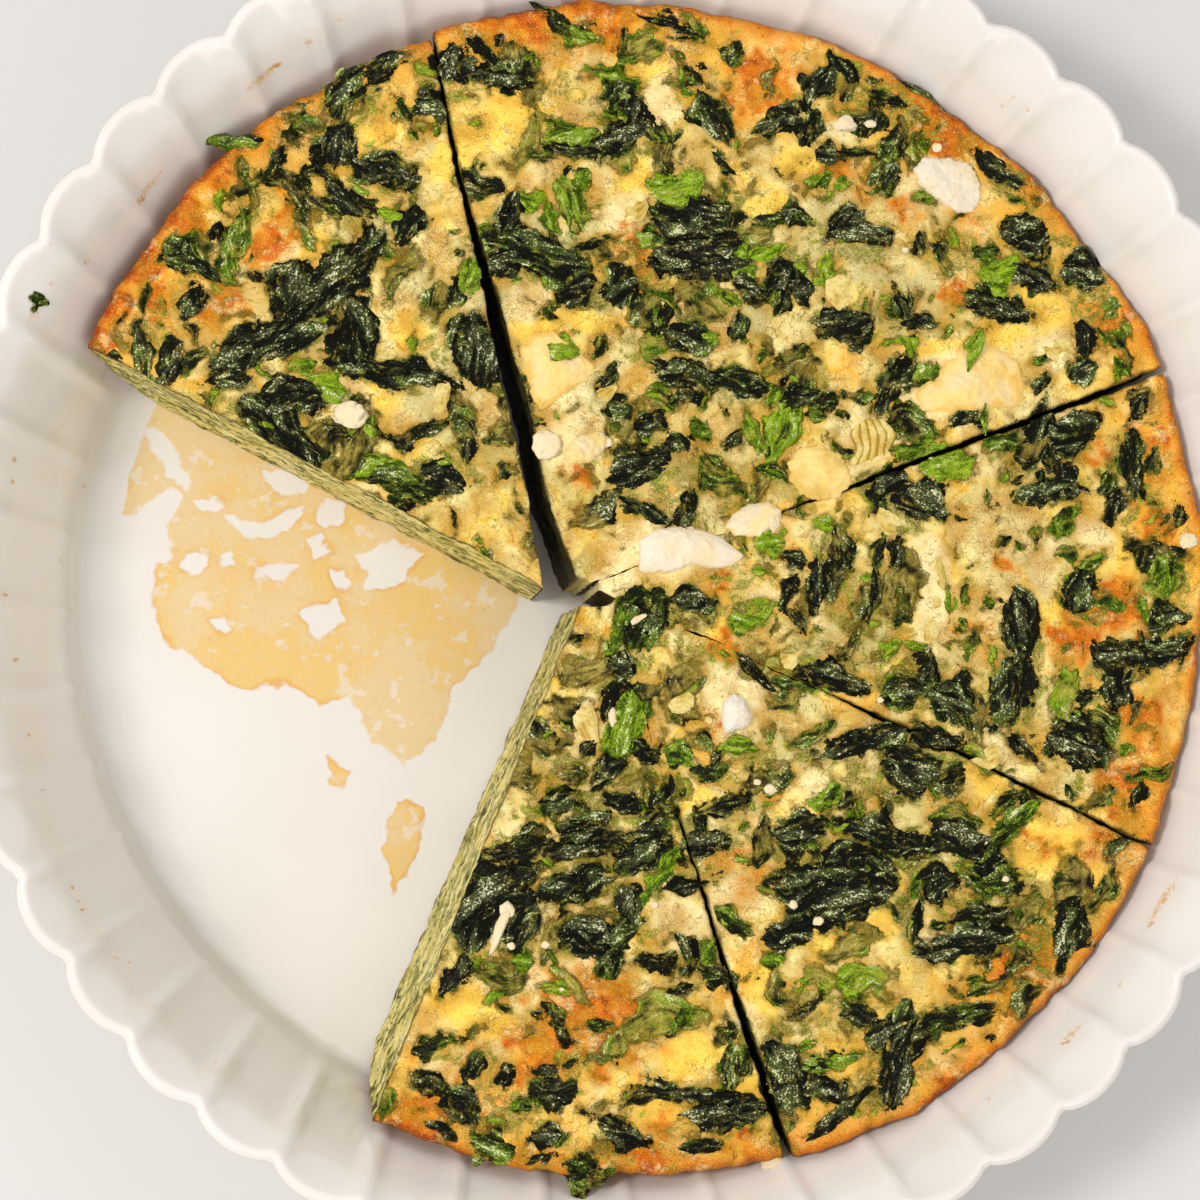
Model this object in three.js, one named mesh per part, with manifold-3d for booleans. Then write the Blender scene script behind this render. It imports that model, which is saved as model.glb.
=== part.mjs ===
// A crustless spinach quiche, baked and partly served, in its own white fluted pie dish.
// Millimetres, +Z up. The origin is the centre of the dish's foot ring, on the table. +Y is the far side.
// The quiche is cut into five wedges, which leave an open wedge of bare floor on the -X side.
import * as THREE from "three";
import { mergeVertices } from "three/addons/utils/BufferGeometryUtils.js";
import Module from "manifold-3d";

const wasm = await Module();
wasm.setup();

// The driving dimensions of the dish.
const FLUTES = 46;
const FLUTE_TURN = 3; // degrees by which the first notch is turned from +X
const STEPS_PER_FLUTE = 4;
const FLOOR_Z = 6; // inside floor of the dish
const RIM_Z = 47.8; // top of the lip
const NOTCH_R = 133; // outside radius of the lip, at the notch between two flutes
const FLUTE_DEPTH = 2.8; // how far a flute bulges out of the notch circle at the lip

// The driving dimensions of the quiche.
const BASE_Z = FLOOR_Z + 0.35; // underside of the food
const TOP_Z = 33; // mean height of the baked top
const CRUST_R = 117.6; // browned top edge, from the dish's axis
const RADIAL_CELLS = 15;
const DEGREES_PER_CELL = 4;
const HEIGHT_CELLS = 3;
const GAP = 0.35; // clearance between pieces that rest on or in each other

// Each wedge: where its two cut faces meet, the directions of those faces in degrees, how far from
// the meeting point its blunt tip starts, how far its rim has drawn back from the crust circle, and
// how far each cut face stands back from the cut line at the tip, half way out and at the rim. A
// splay is how far the foot of the first cut face stands out past its top edge, at those stations.
const SLICES = [
  { name: "slice_upper_left", tip: [-15.6, -2.6], from: 102.0, to: 153.0, start: 2.2, drawn: 2.2,
    standFrom: [0.3, 0.7, 0.3], standTo: [0.3, 0.3, 0.3] },
  { name: "slice_top", tip: [-10.2, -1.2], from: 21.0, to: 104.4, start: 1.8, drawn: 0,
    standFrom: [0.25, 0.3, 0.6], standTo: [0.6, 1.0, 0.4] },
  { name: "slice_right", tip: [-9.0, -1.0], from: -23.4, to: 21.1, start: 2.4, drawn: 0,
    standFrom: [0.25, 0.3, 0.4], standTo: [0.25, 0.3, 0.4] },
  { name: "slice_lower_right", tip: [-5.5, -2.6], from: -71.8, to: -23.5, start: 2.4, drawn: 0,
    standFrom: [0.25, 0.4, 1.3], standTo: [0.25, 0.3, 0.4] },
  { name: "slice_bottom", tip: [-7.4, 3.1], from: -111.9, to: -71.7, start: 8.5, drawn: 0.4,
    standFrom: [0.3, 0.3, 0.3], standTo: [0.25, 0.4, 1.3], splay: [0.8, 2.4, 4] },
];

// Slow swells of the baked top: height in mm, wavelength in mm, direction and phase in degrees.
const SWELLS = [
  [0.85, 61, 25, 40],
  [0.7, 43, 118, 190],
  [0.6, 33, 71, 300],
  [0.5, 26, 160, 75],
  [0.45, 21, 12, 240],
];

// Lumps of soft cheese set into the top: centre, length, width, height above the top, turn.
const CHEESE = [
  { name: "cheese_far_right", at: [64.4, 82.5], size: [14, 12, 2.6], turn: 20 },
  { name: "cheese_right", at: [69, 41], size: [22, 13, 2.2], turn: 8 },
  { name: "cheese_near_left_cut", at: [-16, 41], size: [11, 14, 2.2], turn: -15 },
  { name: "cheese_middle", at: [8.5, 8.5], size: [24, 8.5, 2.6], turn: -2 },
  { name: "cheese_middle_right", at: [26, 14.5], size: [9, 9, 2.4], turn: 30 },
  { name: "cheese_left_tip", at: [-9.5, 25.5], size: [11, 8, 2.2], turn: 25 },
  { name: "cheese_before_right_cut", at: [39, 23.6], size: [14, 9.5, 1.8], turn: 18 },
  { name: "cheese_crumble", at: [20.4, -26.7], size: [5.6, 7, 2.6], turn: 15 },
];

// Wilted spinach leaves that lie on the top: middle, length, width, turn of the leaf's length.
const LEAVES = [
  { name: "leaf_big_fold", at: [-66.6, 52.3], size: [38, 10], turn: 38 },
  { name: "leaf_by_big_fold", at: [-54.5, 48], size: [14, 8.5], turn: 96 },
  { name: "leaf_far_left", at: [-57.5, 80.5], size: [19, 6], turn: -72 },
  { name: "leaf_left_edge", at: [-64, 29.5], size: [17, 10], turn: -32 },
  { name: "leaf_left_corner", at: [-29.5, 101.5], size: [16, 6.5], turn: -14 },
  { name: "leaf_left_cut", at: [-19.5, 65.5], size: [18, 11], turn: -16 },
  { name: "leaf_top_middle", at: [14.6, 67], size: [16, 9.5], turn: 8 },
  { name: "leaf_top_curl", at: [-0.6, 91], size: [12, 7.5], turn: 40 },
  { name: "leaf_top_strip", at: [11.5, 42], size: [17, 6.5], turn: -14 },
  { name: "leaf_top_right", at: [45.5, 71.5], size: [12, 9], turn: -38 },
  { name: "leaf_star", at: [83, 70], size: [10.5, 9.5], turn: 25 },
  { name: "leaf_right_edge", at: [73, 57], size: [14.5, 5.5], turn: -16 },
  { name: "leaf_right_cut", at: [84, 19], size: [13, 6.5], turn: -10 },
  { name: "leaf_right_long", at: [77.5, -16], size: [28, 7.5], turn: 93 },
  { name: "leaf_right_tip", at: [60, -17], size: [15, 9], turn: -30 },
  { name: "leaf_right_rim", at: [99.5, -14.5], size: [18, 7.5], turn: 12 },
  { name: "leaf_lower_right_big", at: [44, -61], size: [22, 12.5], turn: 10 },
  { name: "leaf_lower_right_rim", at: [65, -70], size: [19, 6.5], turn: 12 },
  { name: "leaf_lower_right_edge", at: [52.5, -92.5], size: [17, 8], turn: 62 },
  { name: "leaf_bottom_rim", at: [17, -103.5], size: [14, 6.5], turn: 5 },
  { name: "leaf_bottom_far", at: [-5, -52], size: [18, 6.5], turn: 12 },
  { name: "leaf_bottom_middle", at: [-9, -70], size: [15, 6.5], turn: -20 },
];
const LEAF_THICKNESS = 0.9;

const radians = THREE.MathUtils.degToRad;
const lerp = THREE.MathUtils.lerp;

// The finishes.
const porcelain = new THREE.MeshStandardMaterial({ color: "#efebe6", roughness: 0.22, metalness: 0 });
const custard = new THREE.MeshStandardMaterial({ color: "#d8b45c", roughness: 0.55, metalness: 0 });
const softCheese = new THREE.MeshStandardMaterial({ color: "#efe4bd", roughness: 0.6, metalness: 0 });
const spinach = new THREE.MeshStandardMaterial({ color: "#232d1e", roughness: 0.45, metalness: 0 });

// A value that changes along three stations, at 0, a half and 1.
function along([start, middle, end], share) {
  if (share < 0.5) return lerp(start, middle, share * 2);
  return lerp(middle, end, share * 2 - 1);
}

// Turns any closed three.js geometry into a manifold-3d solid.
function solidOf(geometry) {
  const bare = geometry.clone();
  bare.deleteAttribute("normal");
  bare.deleteAttribute("uv");
  const merged = mergeVertices(bare, 1e-4);
  return new wasm.Manifold(
    new wasm.Mesh({
      numProp: 3,
      vertProperties: merged.attributes.position.array,
      triVerts: new Uint32Array(merged.index.array),
    }),
  );
}

// Turns a manifold-3d solid back into a three.js geometry.
function geometryOf(solid) {
  const mesh = solid.getMesh();
  const geometry = new THREE.BufferGeometry();
  geometry.setAttribute("position", new THREE.BufferAttribute(new Float32Array(mesh.vertProperties), 3));
  geometry.setIndex(new THREE.BufferAttribute(new Uint32Array(mesh.triVerts), 1));
  return geometry;
}

// Moves every vertex of a geometry by a function of its place.
function reshape(geometry, place) {
  const position = geometry.attributes.position;
  for (let i = 0; i < position.count; i++) {
    const to = place(position.getX(i), position.getY(i), position.getZ(i));
    position.setXYZ(i, ...to);
  }
  return geometry;
}

// The fluted dish.
// The section runs from the middle of the inside floor, up the wall, over the lip and down to the
// foot. Each point: radius at the notch, height, and the share of the full flute depth there.
const DISH_SECTION = [
  [0, FLOOR_Z, 0],
  [104, FLOOR_Z, 0],
  [110.2, 9, 0.12],
  [113.2, 19, 0.35],
  [119.7, 33, 0.62],
  [124.2, 41, 0.85],
  [129.2, 46.3, 1],
  [131.4, RIM_Z, 1],
  [NOTCH_R, 46.6, 1],
  [128.2, 40.5, 0.95],
  [122.4, 30, 0.75],
  [118, 17, 0.5],
  [112, 5.5, 0.25],
  [103.5, 2.2, 0],
  [102, 0, 0],
  [97.5, 0, 0],
  [96.5, 2.2, 0],
  [0, 2.2, 0],
];

// One flute is a shallow round bay between two ridges.
function bay(turnInFlutes) {
  const across = turnInFlutes - Math.floor(turnInFlutes);
  return 1 - (2 * across - 1) ** 2;
}

function dishGeometry() {
  const section = DISH_SECTION.map(([radius, height]) => new THREE.Vector2(radius, height)).reverse();
  const shares = DISH_SECTION.map(([, , share]) => share).reverse();
  const lathe = new THREE.LatheGeometry(section, FLUTES * STEPS_PER_FLUTE);
  const position = lathe.attributes.position;
  for (let i = 0; i < position.count; i++) {
    const share = shares[i % section.length];
    const step = Math.floor(i / section.length);
    const radius = section[i % section.length].x + share * FLUTE_DEPTH * bay(step / STEPS_PER_FLUTE);
    const angle = radians(FLUTE_TURN) + (2 * Math.PI * step) / (FLUTES * STEPS_PER_FLUTE);
    position.setX(i, radius * Math.cos(angle));
    position.setZ(i, -radius * Math.sin(angle));
  }
  return lathe.rotateX(Math.PI / 2);
}

// The quiche.
// Height of the baked top over the plane of TOP_Z.
function swell(x, y) {
  let height = 0;
  for (const [size, wavelength, direction, phase] of SWELLS) {
    const run = x * Math.cos(radians(direction)) + y * Math.sin(radians(direction));
    height += size * Math.sin((2 * Math.PI * run) / wavelength + radians(phase));
  }
  return height;
}

// The browned outline is a little uneven.
function crustRadius(angle) {
  return CRUST_R + 0.6 * Math.sin(5 * angle + 0.7) + 0.45 * Math.sin(11 * angle + 2) + 0.35 * Math.sin(17 * angle);
}

// How far the food's side stands back from the crust outline at each height, as the dish narrows.
function sideRadius(share, outline) {
  const bottom = 103.2;
  const knee = 110.6;
  if (share < 0.34) return lerp(bottom, knee, share / 0.34);
  return lerp(knee, outline, (share - 0.34) / 0.66);
}

// Distance from a point inside the dish to a circle about the axis, along a direction.
function reach([x, y], angle, radius) {
  const towards = x * Math.cos(angle) + y * Math.sin(angle);
  return -towards + Math.sqrt(towards ** 2 + radius ** 2 - x ** 2 - y ** 2);
}

function sliceGeometry(slice) {
  const arcCells = Math.round((slice.to - slice.from) / DEGREES_PER_CELL);
  const block = new THREE.BoxGeometry(1, 1, 1, RADIAL_CELLS, arcCells, HEIGHT_CELLS);
  block.translate(0.5, 0.5, 0.5);
  return reshape(block, (out, round, up) => {
    const middle = radians(lerp(slice.from, slice.to, round));
    const [tipX, tipY] = slice.tip;
    // the crust outline is taken where this direction meets the plain crust circle
    const far = reach(slice.tip, middle, CRUST_R);
    const compass = Math.atan2(tipY + far * Math.sin(middle), tipX + far * Math.cos(middle));
    const outline = crustRadius(compass) - slice.drawn;
    const end = reach(slice.tip, middle, sideRadius(up, outline));
    const distance = lerp(slice.start, end, out);
    const shareOut = distance / CRUST_R;
    const splay = slice.splay ? (1 - up) * along(slice.splay, shareOut) : 0;
    const fromStand = along(slice.standFrom, shareOut) - splay;
    const fromAngle = radians(slice.from) + Math.asin(fromStand / distance);
    const toAngle = radians(slice.to) - Math.asin(along(slice.standTo, shareOut) / distance);
    const angle = lerp(fromAngle, toAngle, round);
    const x = tipX + distance * Math.cos(angle);
    const y = tipY + distance * Math.sin(angle);
    const edgeDrop = 1.5 * Math.exp(-Math.max(0, outline - Math.hypot(x, y)) / 1.5);
    const top = TOP_Z + swell(x, y) - edgeDrop;
    return [x, y, lerp(BASE_Z - 1, top, up)];
  });
}

// The underside is trimmed flat, so that it rests on the dish's floor.
function trimmedSlice(slice) {
  const below = new THREE.BoxGeometry(300, 300, 10).translate(0, 0, BASE_Z - 5);
  return solidOf(sliceGeometry(slice)).subtract(solidOf(below));
}

// The lumps of soft cheese.
// A crumbled lump is a ball with blunt facets, sunk by more than half into the custard.
function cheeseGeometry({ at, size, turn }, clearance) {
  const [length, width, proud] = size;
  const depth = proud + 3.4;
  const ball = new THREE.IcosahedronGeometry(1, 1);
  reshape(ball, (x, y, z) => {
    const knock = 1 + 0.1 * Math.sin(3.1 * x + length) + 0.08 * Math.cos(4.3 * y + width) - 0.06 * Math.sin(5 * z);
    const blunt = 1 / Math.max(Math.abs(x), Math.abs(y), 0.72 + 0.28 * Math.abs(z)) ** 0.35;
    return [x * knock * blunt, y * knock * blunt, z * knock];
  });
  ball.scale(length / 2 / 1.1 + clearance, width / 2 / 1.1 + clearance, depth / 2 + clearance);
  ball.rotateZ(radians(turn));
  return ball.translate(at[0], at[1], TOP_Z + swell(at[0], at[1]) + proud - depth / 2);
}

// The wilted spinach leaves.
const downwards = new THREE.Vector3(0, 0, -1);
const ray = new THREE.Raycaster();

// The highest point of the food within a few millimetres of a place.
function highestNear(x, y, food) {
  const spread = 3;
  let highest = BASE_Z;
  for (let i = 0; i < 7; i++) {
    const ring = i === 0 ? 0 : spread;
    const turn = radians(60 * i);
    ray.set(new THREE.Vector3(x + ring * Math.cos(turn), y + ring * Math.sin(turn), 90), downwards);
    const hit = ray.intersectObjects(food, false)[0];
    if (hit) highest = Math.max(highest, hit.point.z);
  }
  return highest;
}

// A leaf is a thin wavy sheet with a pointed outline, draped over the food under it.
function leafGeometry({ at, size, turn }, food) {
  const [length, width] = size;
  const lengthCells = Math.max(4, Math.round(length / 3.4));
  const sheet = new THREE.BoxGeometry(1, 1, 1, lengthCells, 3, 1);
  const direction = radians(turn);
  return reshape(sheet, (alongLeaf, across, up) => {
    const taper = 0.22 + 0.78 * Math.sqrt(Math.max(0, 1 - (2 * alongLeaf) ** 2));
    const sway = 0.09 * width * Math.sin(5 * alongLeaf + length);
    const lengthwise = alongLeaf * length;
    const crosswise = across * width * taper + sway;
    const x = at[0] + lengthwise * Math.cos(direction) - crosswise * Math.sin(direction);
    const y = at[1] + lengthwise * Math.sin(direction) + crosswise * Math.cos(direction);
    const wave = 0.45 + 0.3 * Math.sin(11 * alongLeaf + width) + 0.15 * Math.cos(7 * across + length);
    const underside = highestNear(x, y, food) + GAP + wave;
    return [x, y, underside + (up > 0 ? LEAF_THICKNESS : 0)];
  });
}

// The assembly.
const quiche = new THREE.Group();

function add(name, geometry, material) {
  const mesh = new THREE.Mesh(geometry, material);
  mesh.name = name;
  quiche.add(mesh);
  return mesh;
}

add("pie_dish", dishGeometry(), porcelain);

const pockets = CHEESE.map((lump) => solidOf(cheeseGeometry(lump, GAP)));
const food = SLICES.map((slice) => {
  let solid = trimmedSlice(slice);
  for (const pocket of pockets) {
    if (solid.intersect(pocket).volume() > 0) solid = solid.subtract(pocket);
  }
  return add(slice.name, geometryOf(solid), custard);
});

const lumps = CHEESE.map((lump) => add(lump.name, cheeseGeometry(lump, 0), softCheese));

for (const leaf of LEAVES) add(leaf.name, leafGeometry(leaf, [...food, ...lumps]), spinach);

export default quiche;
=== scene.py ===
"""A crustless spinach quiche in the white fluted pie dish that it was baked in, cut into wedges."""
import math

import bmesh
import bpy
import numpy as np
from mathutils import Matrix, Vector
from mathutils.bvhtree import BVHTree


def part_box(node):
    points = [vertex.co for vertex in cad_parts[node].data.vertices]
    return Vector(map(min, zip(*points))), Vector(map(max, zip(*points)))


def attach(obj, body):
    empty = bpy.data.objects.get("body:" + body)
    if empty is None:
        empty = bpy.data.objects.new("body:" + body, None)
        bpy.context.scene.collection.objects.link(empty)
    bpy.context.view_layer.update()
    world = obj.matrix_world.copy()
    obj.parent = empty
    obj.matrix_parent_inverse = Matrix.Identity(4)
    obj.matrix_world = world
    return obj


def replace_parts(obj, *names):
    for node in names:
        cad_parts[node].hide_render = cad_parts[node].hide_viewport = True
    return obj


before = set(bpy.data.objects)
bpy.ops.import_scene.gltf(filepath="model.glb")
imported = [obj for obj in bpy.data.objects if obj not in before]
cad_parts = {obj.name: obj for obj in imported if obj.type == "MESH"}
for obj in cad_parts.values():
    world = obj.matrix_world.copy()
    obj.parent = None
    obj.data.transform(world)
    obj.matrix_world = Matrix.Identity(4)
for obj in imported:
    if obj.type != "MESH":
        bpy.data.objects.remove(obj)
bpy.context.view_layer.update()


# The view. The camera looks down into the dish from 65 cm above the table, a little from the near
# left. Its place and focal length were fitted to the rim and to the food's edge, so a point of the
# picture, counted in a frame of 1200 by 1200, can be followed down to any height over the table.
MM = 0.001
CAMERA_AT = Vector((-89.0, -69.2, 650.0))
CAMERA_AIM = Vector((-4.9, -2.6, 20.0))
FOCAL_PIXELS = 3148.0
FRAME_PIXELS = 1200

sight = (CAMERA_AIM - CAMERA_AT).normalized()
rightward = sight.cross(Vector((0, 1, 0))).normalized()
upward = rightward.cross(sight)

camera = bpy.data.objects.new("camera", bpy.data.cameras.new("camera"))
camera.data.sensor_width = 36
camera.data.lens = 36 * FOCAL_PIXELS / FRAME_PIXELS
camera.data.clip_start = 0.01
camera.matrix_world = (Matrix.Translation(CAMERA_AT * MM)
                       @ Matrix((rightward, upward, -sight)).transposed().to_4x4())
bpy.context.scene.collection.objects.link(camera)
bpy.context.scene.camera = camera


def spot(across, down, height):
    """The place in millimetres, at that height, that the picture shows at a pixel."""
    middle = FRAME_PIXELS / 2
    ray = sight + rightward * (across - middle) / FOCAL_PIXELS - upward * (down - middle) / FOCAL_PIXELS
    reach = (height - CAMERA_AT.z) / ray.z
    return CAMERA_AT.x + ray.x * reach, CAMERA_AT.y + ray.y * reach


PIXELS_PER_MM = 5.03  # at the height of the food's top


# The table. A plain pale surface under the dish.
class Shade:
    """A shader socket that takes part in sums: each operator adds a Math node."""

    def __init__(self, tree, socket=None):
        self.tree = tree
        self.socket = socket

    def node(self, kind, inputs=None, output=0, **settings):
        """Adds a node. Its settings come first, then its inputs, each a value or another Shade."""
        made = self.tree.nodes.new(kind)
        for name, value in settings.items():
            if name == "stops":
                while len(made.color_ramp.elements) < len(value):
                    made.color_ramp.elements.new(0.5)
                for element, (position, colour) in zip(made.color_ramp.elements, value):
                    element.position = position
                    element.color = (*colour, 1)
            else:
                setattr(made, name, value)
        for name, value in (inputs or {}).items():
            if isinstance(value, Shade):
                self.tree.links.new(value.socket, made.inputs[name])
            else:
                made.inputs[name].default_value = value
        return Shade(self.tree, made.outputs[output]) if made.outputs else made

    def maths(self, operation, first, second=0.0, clamp=False):
        return self.node("ShaderNodeMath", {0: first, 1: second}, operation=operation, use_clamp=clamp)

    def __add__(self, other):
        return self.maths("ADD", self, other)

    __radd__ = __add__

    def __sub__(self, other):
        return self.maths("SUBTRACT", self, other)

    def __rsub__(self, other):
        return self.maths("SUBTRACT", other, self)

    def __mul__(self, other):
        return self.maths("MULTIPLY", self, other)

    __rmul__ = __mul__

    def size(self):
        """The value without its sign."""
        return self.maths("ABSOLUTE", self)

    def held(self):
        """The value kept between 0 and 1."""
        return self.maths("ADD", self, 0.0, clamp=True)

    def rise(self, low, high):
        """0 below low and 1 above high, with a soft step between."""
        return self.node("ShaderNodeMapRange", {"Value": self, "From Min": low, "From Max": high},
                         interpolation_type="SMOOTHSTEP")

    def blend(self, under, over):
        """The colour under where this value is 0, and over where it is 1."""
        inputs = {"Factor": self, 6: under, 7: over}
        return self.node("ShaderNodeMix", inputs, output=2, data_type="RGBA")

    def speckle(self, colour, amount):
        """The colour made lighter and darker by this value, which lies around 0.5."""
        inputs = {"Factor": amount, 6: colour, 7: self}
        return self.node("ShaderNodeMix", inputs, output=2, data_type="RGBA", blend_type="OVERLAY")

    def bump(self, height, normal=None):
        """A normal for this height, where 1 stands that many metres proud."""
        inputs = {"Height": self, "Distance": height, "Strength": 1.0}
        if normal:
            inputs["Normal"] = normal
        return self.node("ShaderNodeBump", inputs)


def finish_of(name, base, **constants):
    """A material whose varying inputs come from base(shade), and whose other sockets are constants."""
    material = bpy.data.materials.new(name)
    material.use_nodes = True
    tree = material.node_tree
    surface = tree.nodes["Principled BSDF"]
    for socket, value in constants.items():
        surface.inputs[socket.replace("_", " ")].default_value = value
    for socket, value in base(Shade(tree)).items():
        if isinstance(value, Shade):
            tree.links.new(value.socket, surface.inputs[socket])
        else:
            surface.inputs[socket].default_value = value
    return material


def grain(shade, size, detail=2.0, output=0, **inputs):
    """Noise on the object's own place, with lumps of about size millimetres."""
    place = shade.node("ShaderNodeTexCoord", output=3)
    return shade.node("ShaderNodeTexNoise",
                      {"Vector": place, "Scale": 1000 / size, "Detail": detail, **inputs}, output)


def tint(red, green, blue):
    """A colour as a paint chart gives it, 0 to 255, for a socket."""
    return *(((value / 255 + 0.055) / 1.055) ** 2.4 for value in (red, green, blue)), 1


def table_look(shade):
    cloud = grain(shade, 90, 3)
    return {"Base Color": cloud.blend(tint(202, 201, 199), tint(210, 209, 207))}


bm = bmesh.new()
bmesh.ops.create_grid(bm, x_segments=1, y_segments=1, size=3.0)
table_mesh = bpy.data.meshes.new("table")
bm.to_mesh(table_mesh)
bm.free()
table = bpy.data.objects.new("table", table_mesh)
bpy.context.scene.collection.objects.link(table)
table_mesh.materials.append(finish_of("pale_table", table_look, Roughness=0.6))


# The light. A window on the left lights the food, a white card on the near side and a wide window on
# the far side send some of it back, and a pale room fills the shadows.
def window(name, at, size, power, colour=(1, 1, 1)):
    lamp = bpy.data.objects.new(name, bpy.data.lights.new(name, "AREA"))
    lamp.data.shape = "RECTANGLE"
    lamp.data.size, lamp.data.size_y = size
    lamp.data.energy = power
    lamp.data.color = colour
    at = Vector(at)
    lamp.matrix_world = Matrix.Translation(at) @ (-at).to_track_quat("-Z", "Y").to_matrix().to_4x4()
    bpy.context.scene.collection.objects.link(lamp)


window("left_window", (-0.8, 0.0, 1.1), (0.28, 0.28), 10, (1, 0.97, 0.93))
window("far_window", (0.3, 1.3, 1.1), (1.2, 0.8), 3, (0.95, 0.97, 1))
window("white_card", (0.35, -1.1, 0.8), (1.0, 0.8), 4.4, (1, 0.94, 0.87))
room = bpy.data.worlds.new("room")
bpy.context.scene.world = room
room.use_nodes = True
room.node_tree.nodes["Background"].inputs["Color"].default_value = (1, 0.985, 0.97, 1)
room.node_tree.nodes["Background"].inputs["Strength"].default_value = 0.74
bpy.context.scene.view_settings.view_transform = "Standard"


# The pie dish. Porcelain, slip cast with round flutes in its wall and fired with a glossy white
# glaze. It stands on a foot ring. The bare floor and wall keep a few spots of baked-on juice.
FLUTES = 46
FLUTE_TURN = math.radians(3)
FLUTE_DEPTH = 2.8
STEPS_PER_FLUTE = 12
FLOOR = 6.0
DISH_SECTION = [  # radius at the notch, height, share of the flute's depth
    (104, 6, 0), (110.2, 9, 0.12), (113.2, 19, 0.35), (119.7, 33, 0.62), (124.2, 41, 0.85), (129.2, 46.3, 1),
    (131.4, 47.8, 1), (133, 46.6, 1), (128.2, 40.5, 0.95), (122.4, 30, 0.75), (118, 17, 0.5),
    (112, 5.5, 0.25), (103.5, 2.2, 0), (102, 0, 0), (97.5, 0, 0), (96.5, 2.2, 0),
]


def mesh_of(name, bm):
    """Writes a bmesh into a new object at the origin, with smooth faces."""
    mesh = bpy.data.meshes.new(name)
    bm.to_mesh(mesh)
    bm.free()
    mesh.polygons.foreach_set("use_smooth", np.ones(len(mesh.polygons), bool))
    made = bpy.data.objects.new(name, mesh)
    bpy.context.scene.collection.objects.link(made)
    return made


def places(made):
    """The places of a piece's vertices, as rows of x, y, z."""
    co = np.empty(len(made.data.vertices) * 3)
    made.data.vertices.foreach_get("co", co)
    return co.reshape(-1, 3)


def move(made, x, y, z):
    """Puts a piece's vertices at these places in millimetres."""
    made.data.vertices.foreach_set("co", (np.stack([x, y, z], 1) * MM).ravel())
    made.data.update()


def keep(made, name, values):
    """Stores a value or a colour at each vertex, for the material to read."""
    values = np.ascontiguousarray(values, float)
    if values.ndim == 1:
        made.data.attributes.new(name, "FLOAT", "POINT").data.foreach_set("value", values)
    else:
        made.data.attributes.new(name, "FLOAT_COLOR", "POINT").data.foreach_set("color", values.ravel())


def eased(section, steps):
    """A smooth line through the section's points, by Catmull and Rom's rule."""
    points = np.array(section, float)
    ends = np.vstack([2 * points[0] - points[1], points, 2 * points[-1] - points[-2]])
    line = []
    for i in range(1, len(ends) - 2):
        before, start, stop, after = ends[i - 1:i + 3]
        for t in np.arange(steps) / steps:
            line.append(0.5 * (2 * start + (stop - before) * t
                               + (2 * before - 5 * start + 4 * stop - after) * t**2
                               + (3 * start - before - 3 * stop + after) * t**3))
    line.append(points[-1])
    return np.array(line)


inside_and_lip = eased(DISH_SECTION[:8], 6)
outside = eased(DISH_SECTION[7:13], 5)[1:]
foot = np.array(DISH_SECTION[13:], float)
section = np.vstack([[0, FLOOR, 0], [50, FLOOR, 0], [90, FLOOR, 0], inside_and_lip, outside, foot,
                     [50, 2.2, 0], [0, 2.2, 0]])

bm = bmesh.new()
share = bm.verts.layers.float.new("flute_share")
chain = []
for radius, height, depth in section:
    vertex = bm.verts.new((radius, 0, height))
    vertex[share] = max(0.0, depth)
    chain.append(vertex)
for one, other in zip(chain, chain[1:]):
    bm.edges.new((one, other))
bmesh.ops.spin(bm, geom=bm.verts[:] + bm.edges[:], cent=(0, 0, 0), axis=(0, 0, 1), angle=math.tau,
               steps=FLUTES * STEPS_PER_FLUTE, use_merge=True)
bmesh.ops.remove_doubles(bm, verts=bm.verts[:], dist=0.001)
bmesh.ops.recalc_face_normals(bm, faces=bm.faces[:])
shares = np.array([v[share] for v in bm.verts])
dish = mesh_of("fluted_dish", bm)
co = places(dish)
turn = np.arctan2(co[:, 1], co[:, 0])
radius = np.hypot(co[:, 0], co[:, 1])
across = ((turn - FLUTE_TURN) / math.tau * FLUTES) % 1
flat = 2.2 + 12 * np.clip(1 - shares, 0, 0.4)
bay = 1 - (np.sqrt((2 * across - 1) ** 2 + 0.003)) ** flat
from_notch = np.minimum(across, 1 - across) * math.tau / FLUTES * radius
radius += shares * FLUTE_DEPTH * bay - 0.35 * np.minimum(1, 3 * shares) * np.exp(-((from_notch / 0.7) ** 2))
move(dish, radius * np.cos(turn), radius * np.sin(turn), co[:, 2])


def glaze_look(shade):
    waves = grain(shade, 16, 1)
    cream = grain(shade, 45, 2)
    colour = cream.rise(0.35, 0.7).blend(tint(221, 215, 209), tint(227, 222, 217))
    return {"Base Color": colour, "Normal": waves.bump(0.0004)}


dish.data.materials.append(finish_of("white_glaze", glaze_look, Roughness=0.13, Coat_Weight=0.4,
                                     Coat_Roughness=0.06))
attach(dish, "root")
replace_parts(dish, "pie_dish")


# The wedges of quiche. Egg custard and soft cheese, baked with chopped spinach and onion and no
# crust until the top and the edge turned brown, then cut in wedges. The custard swells between
# the leaves, and most leaves are sunk in its skin.
BASE = FLOOR + 0.35
TOP = 33.0
SIGHTED = 34  # the height at which places in the picture are read
CRUST = 118.3
WALL_LEVELS = 16
SHUT = 0.02  # where the food closes over a cut
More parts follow.
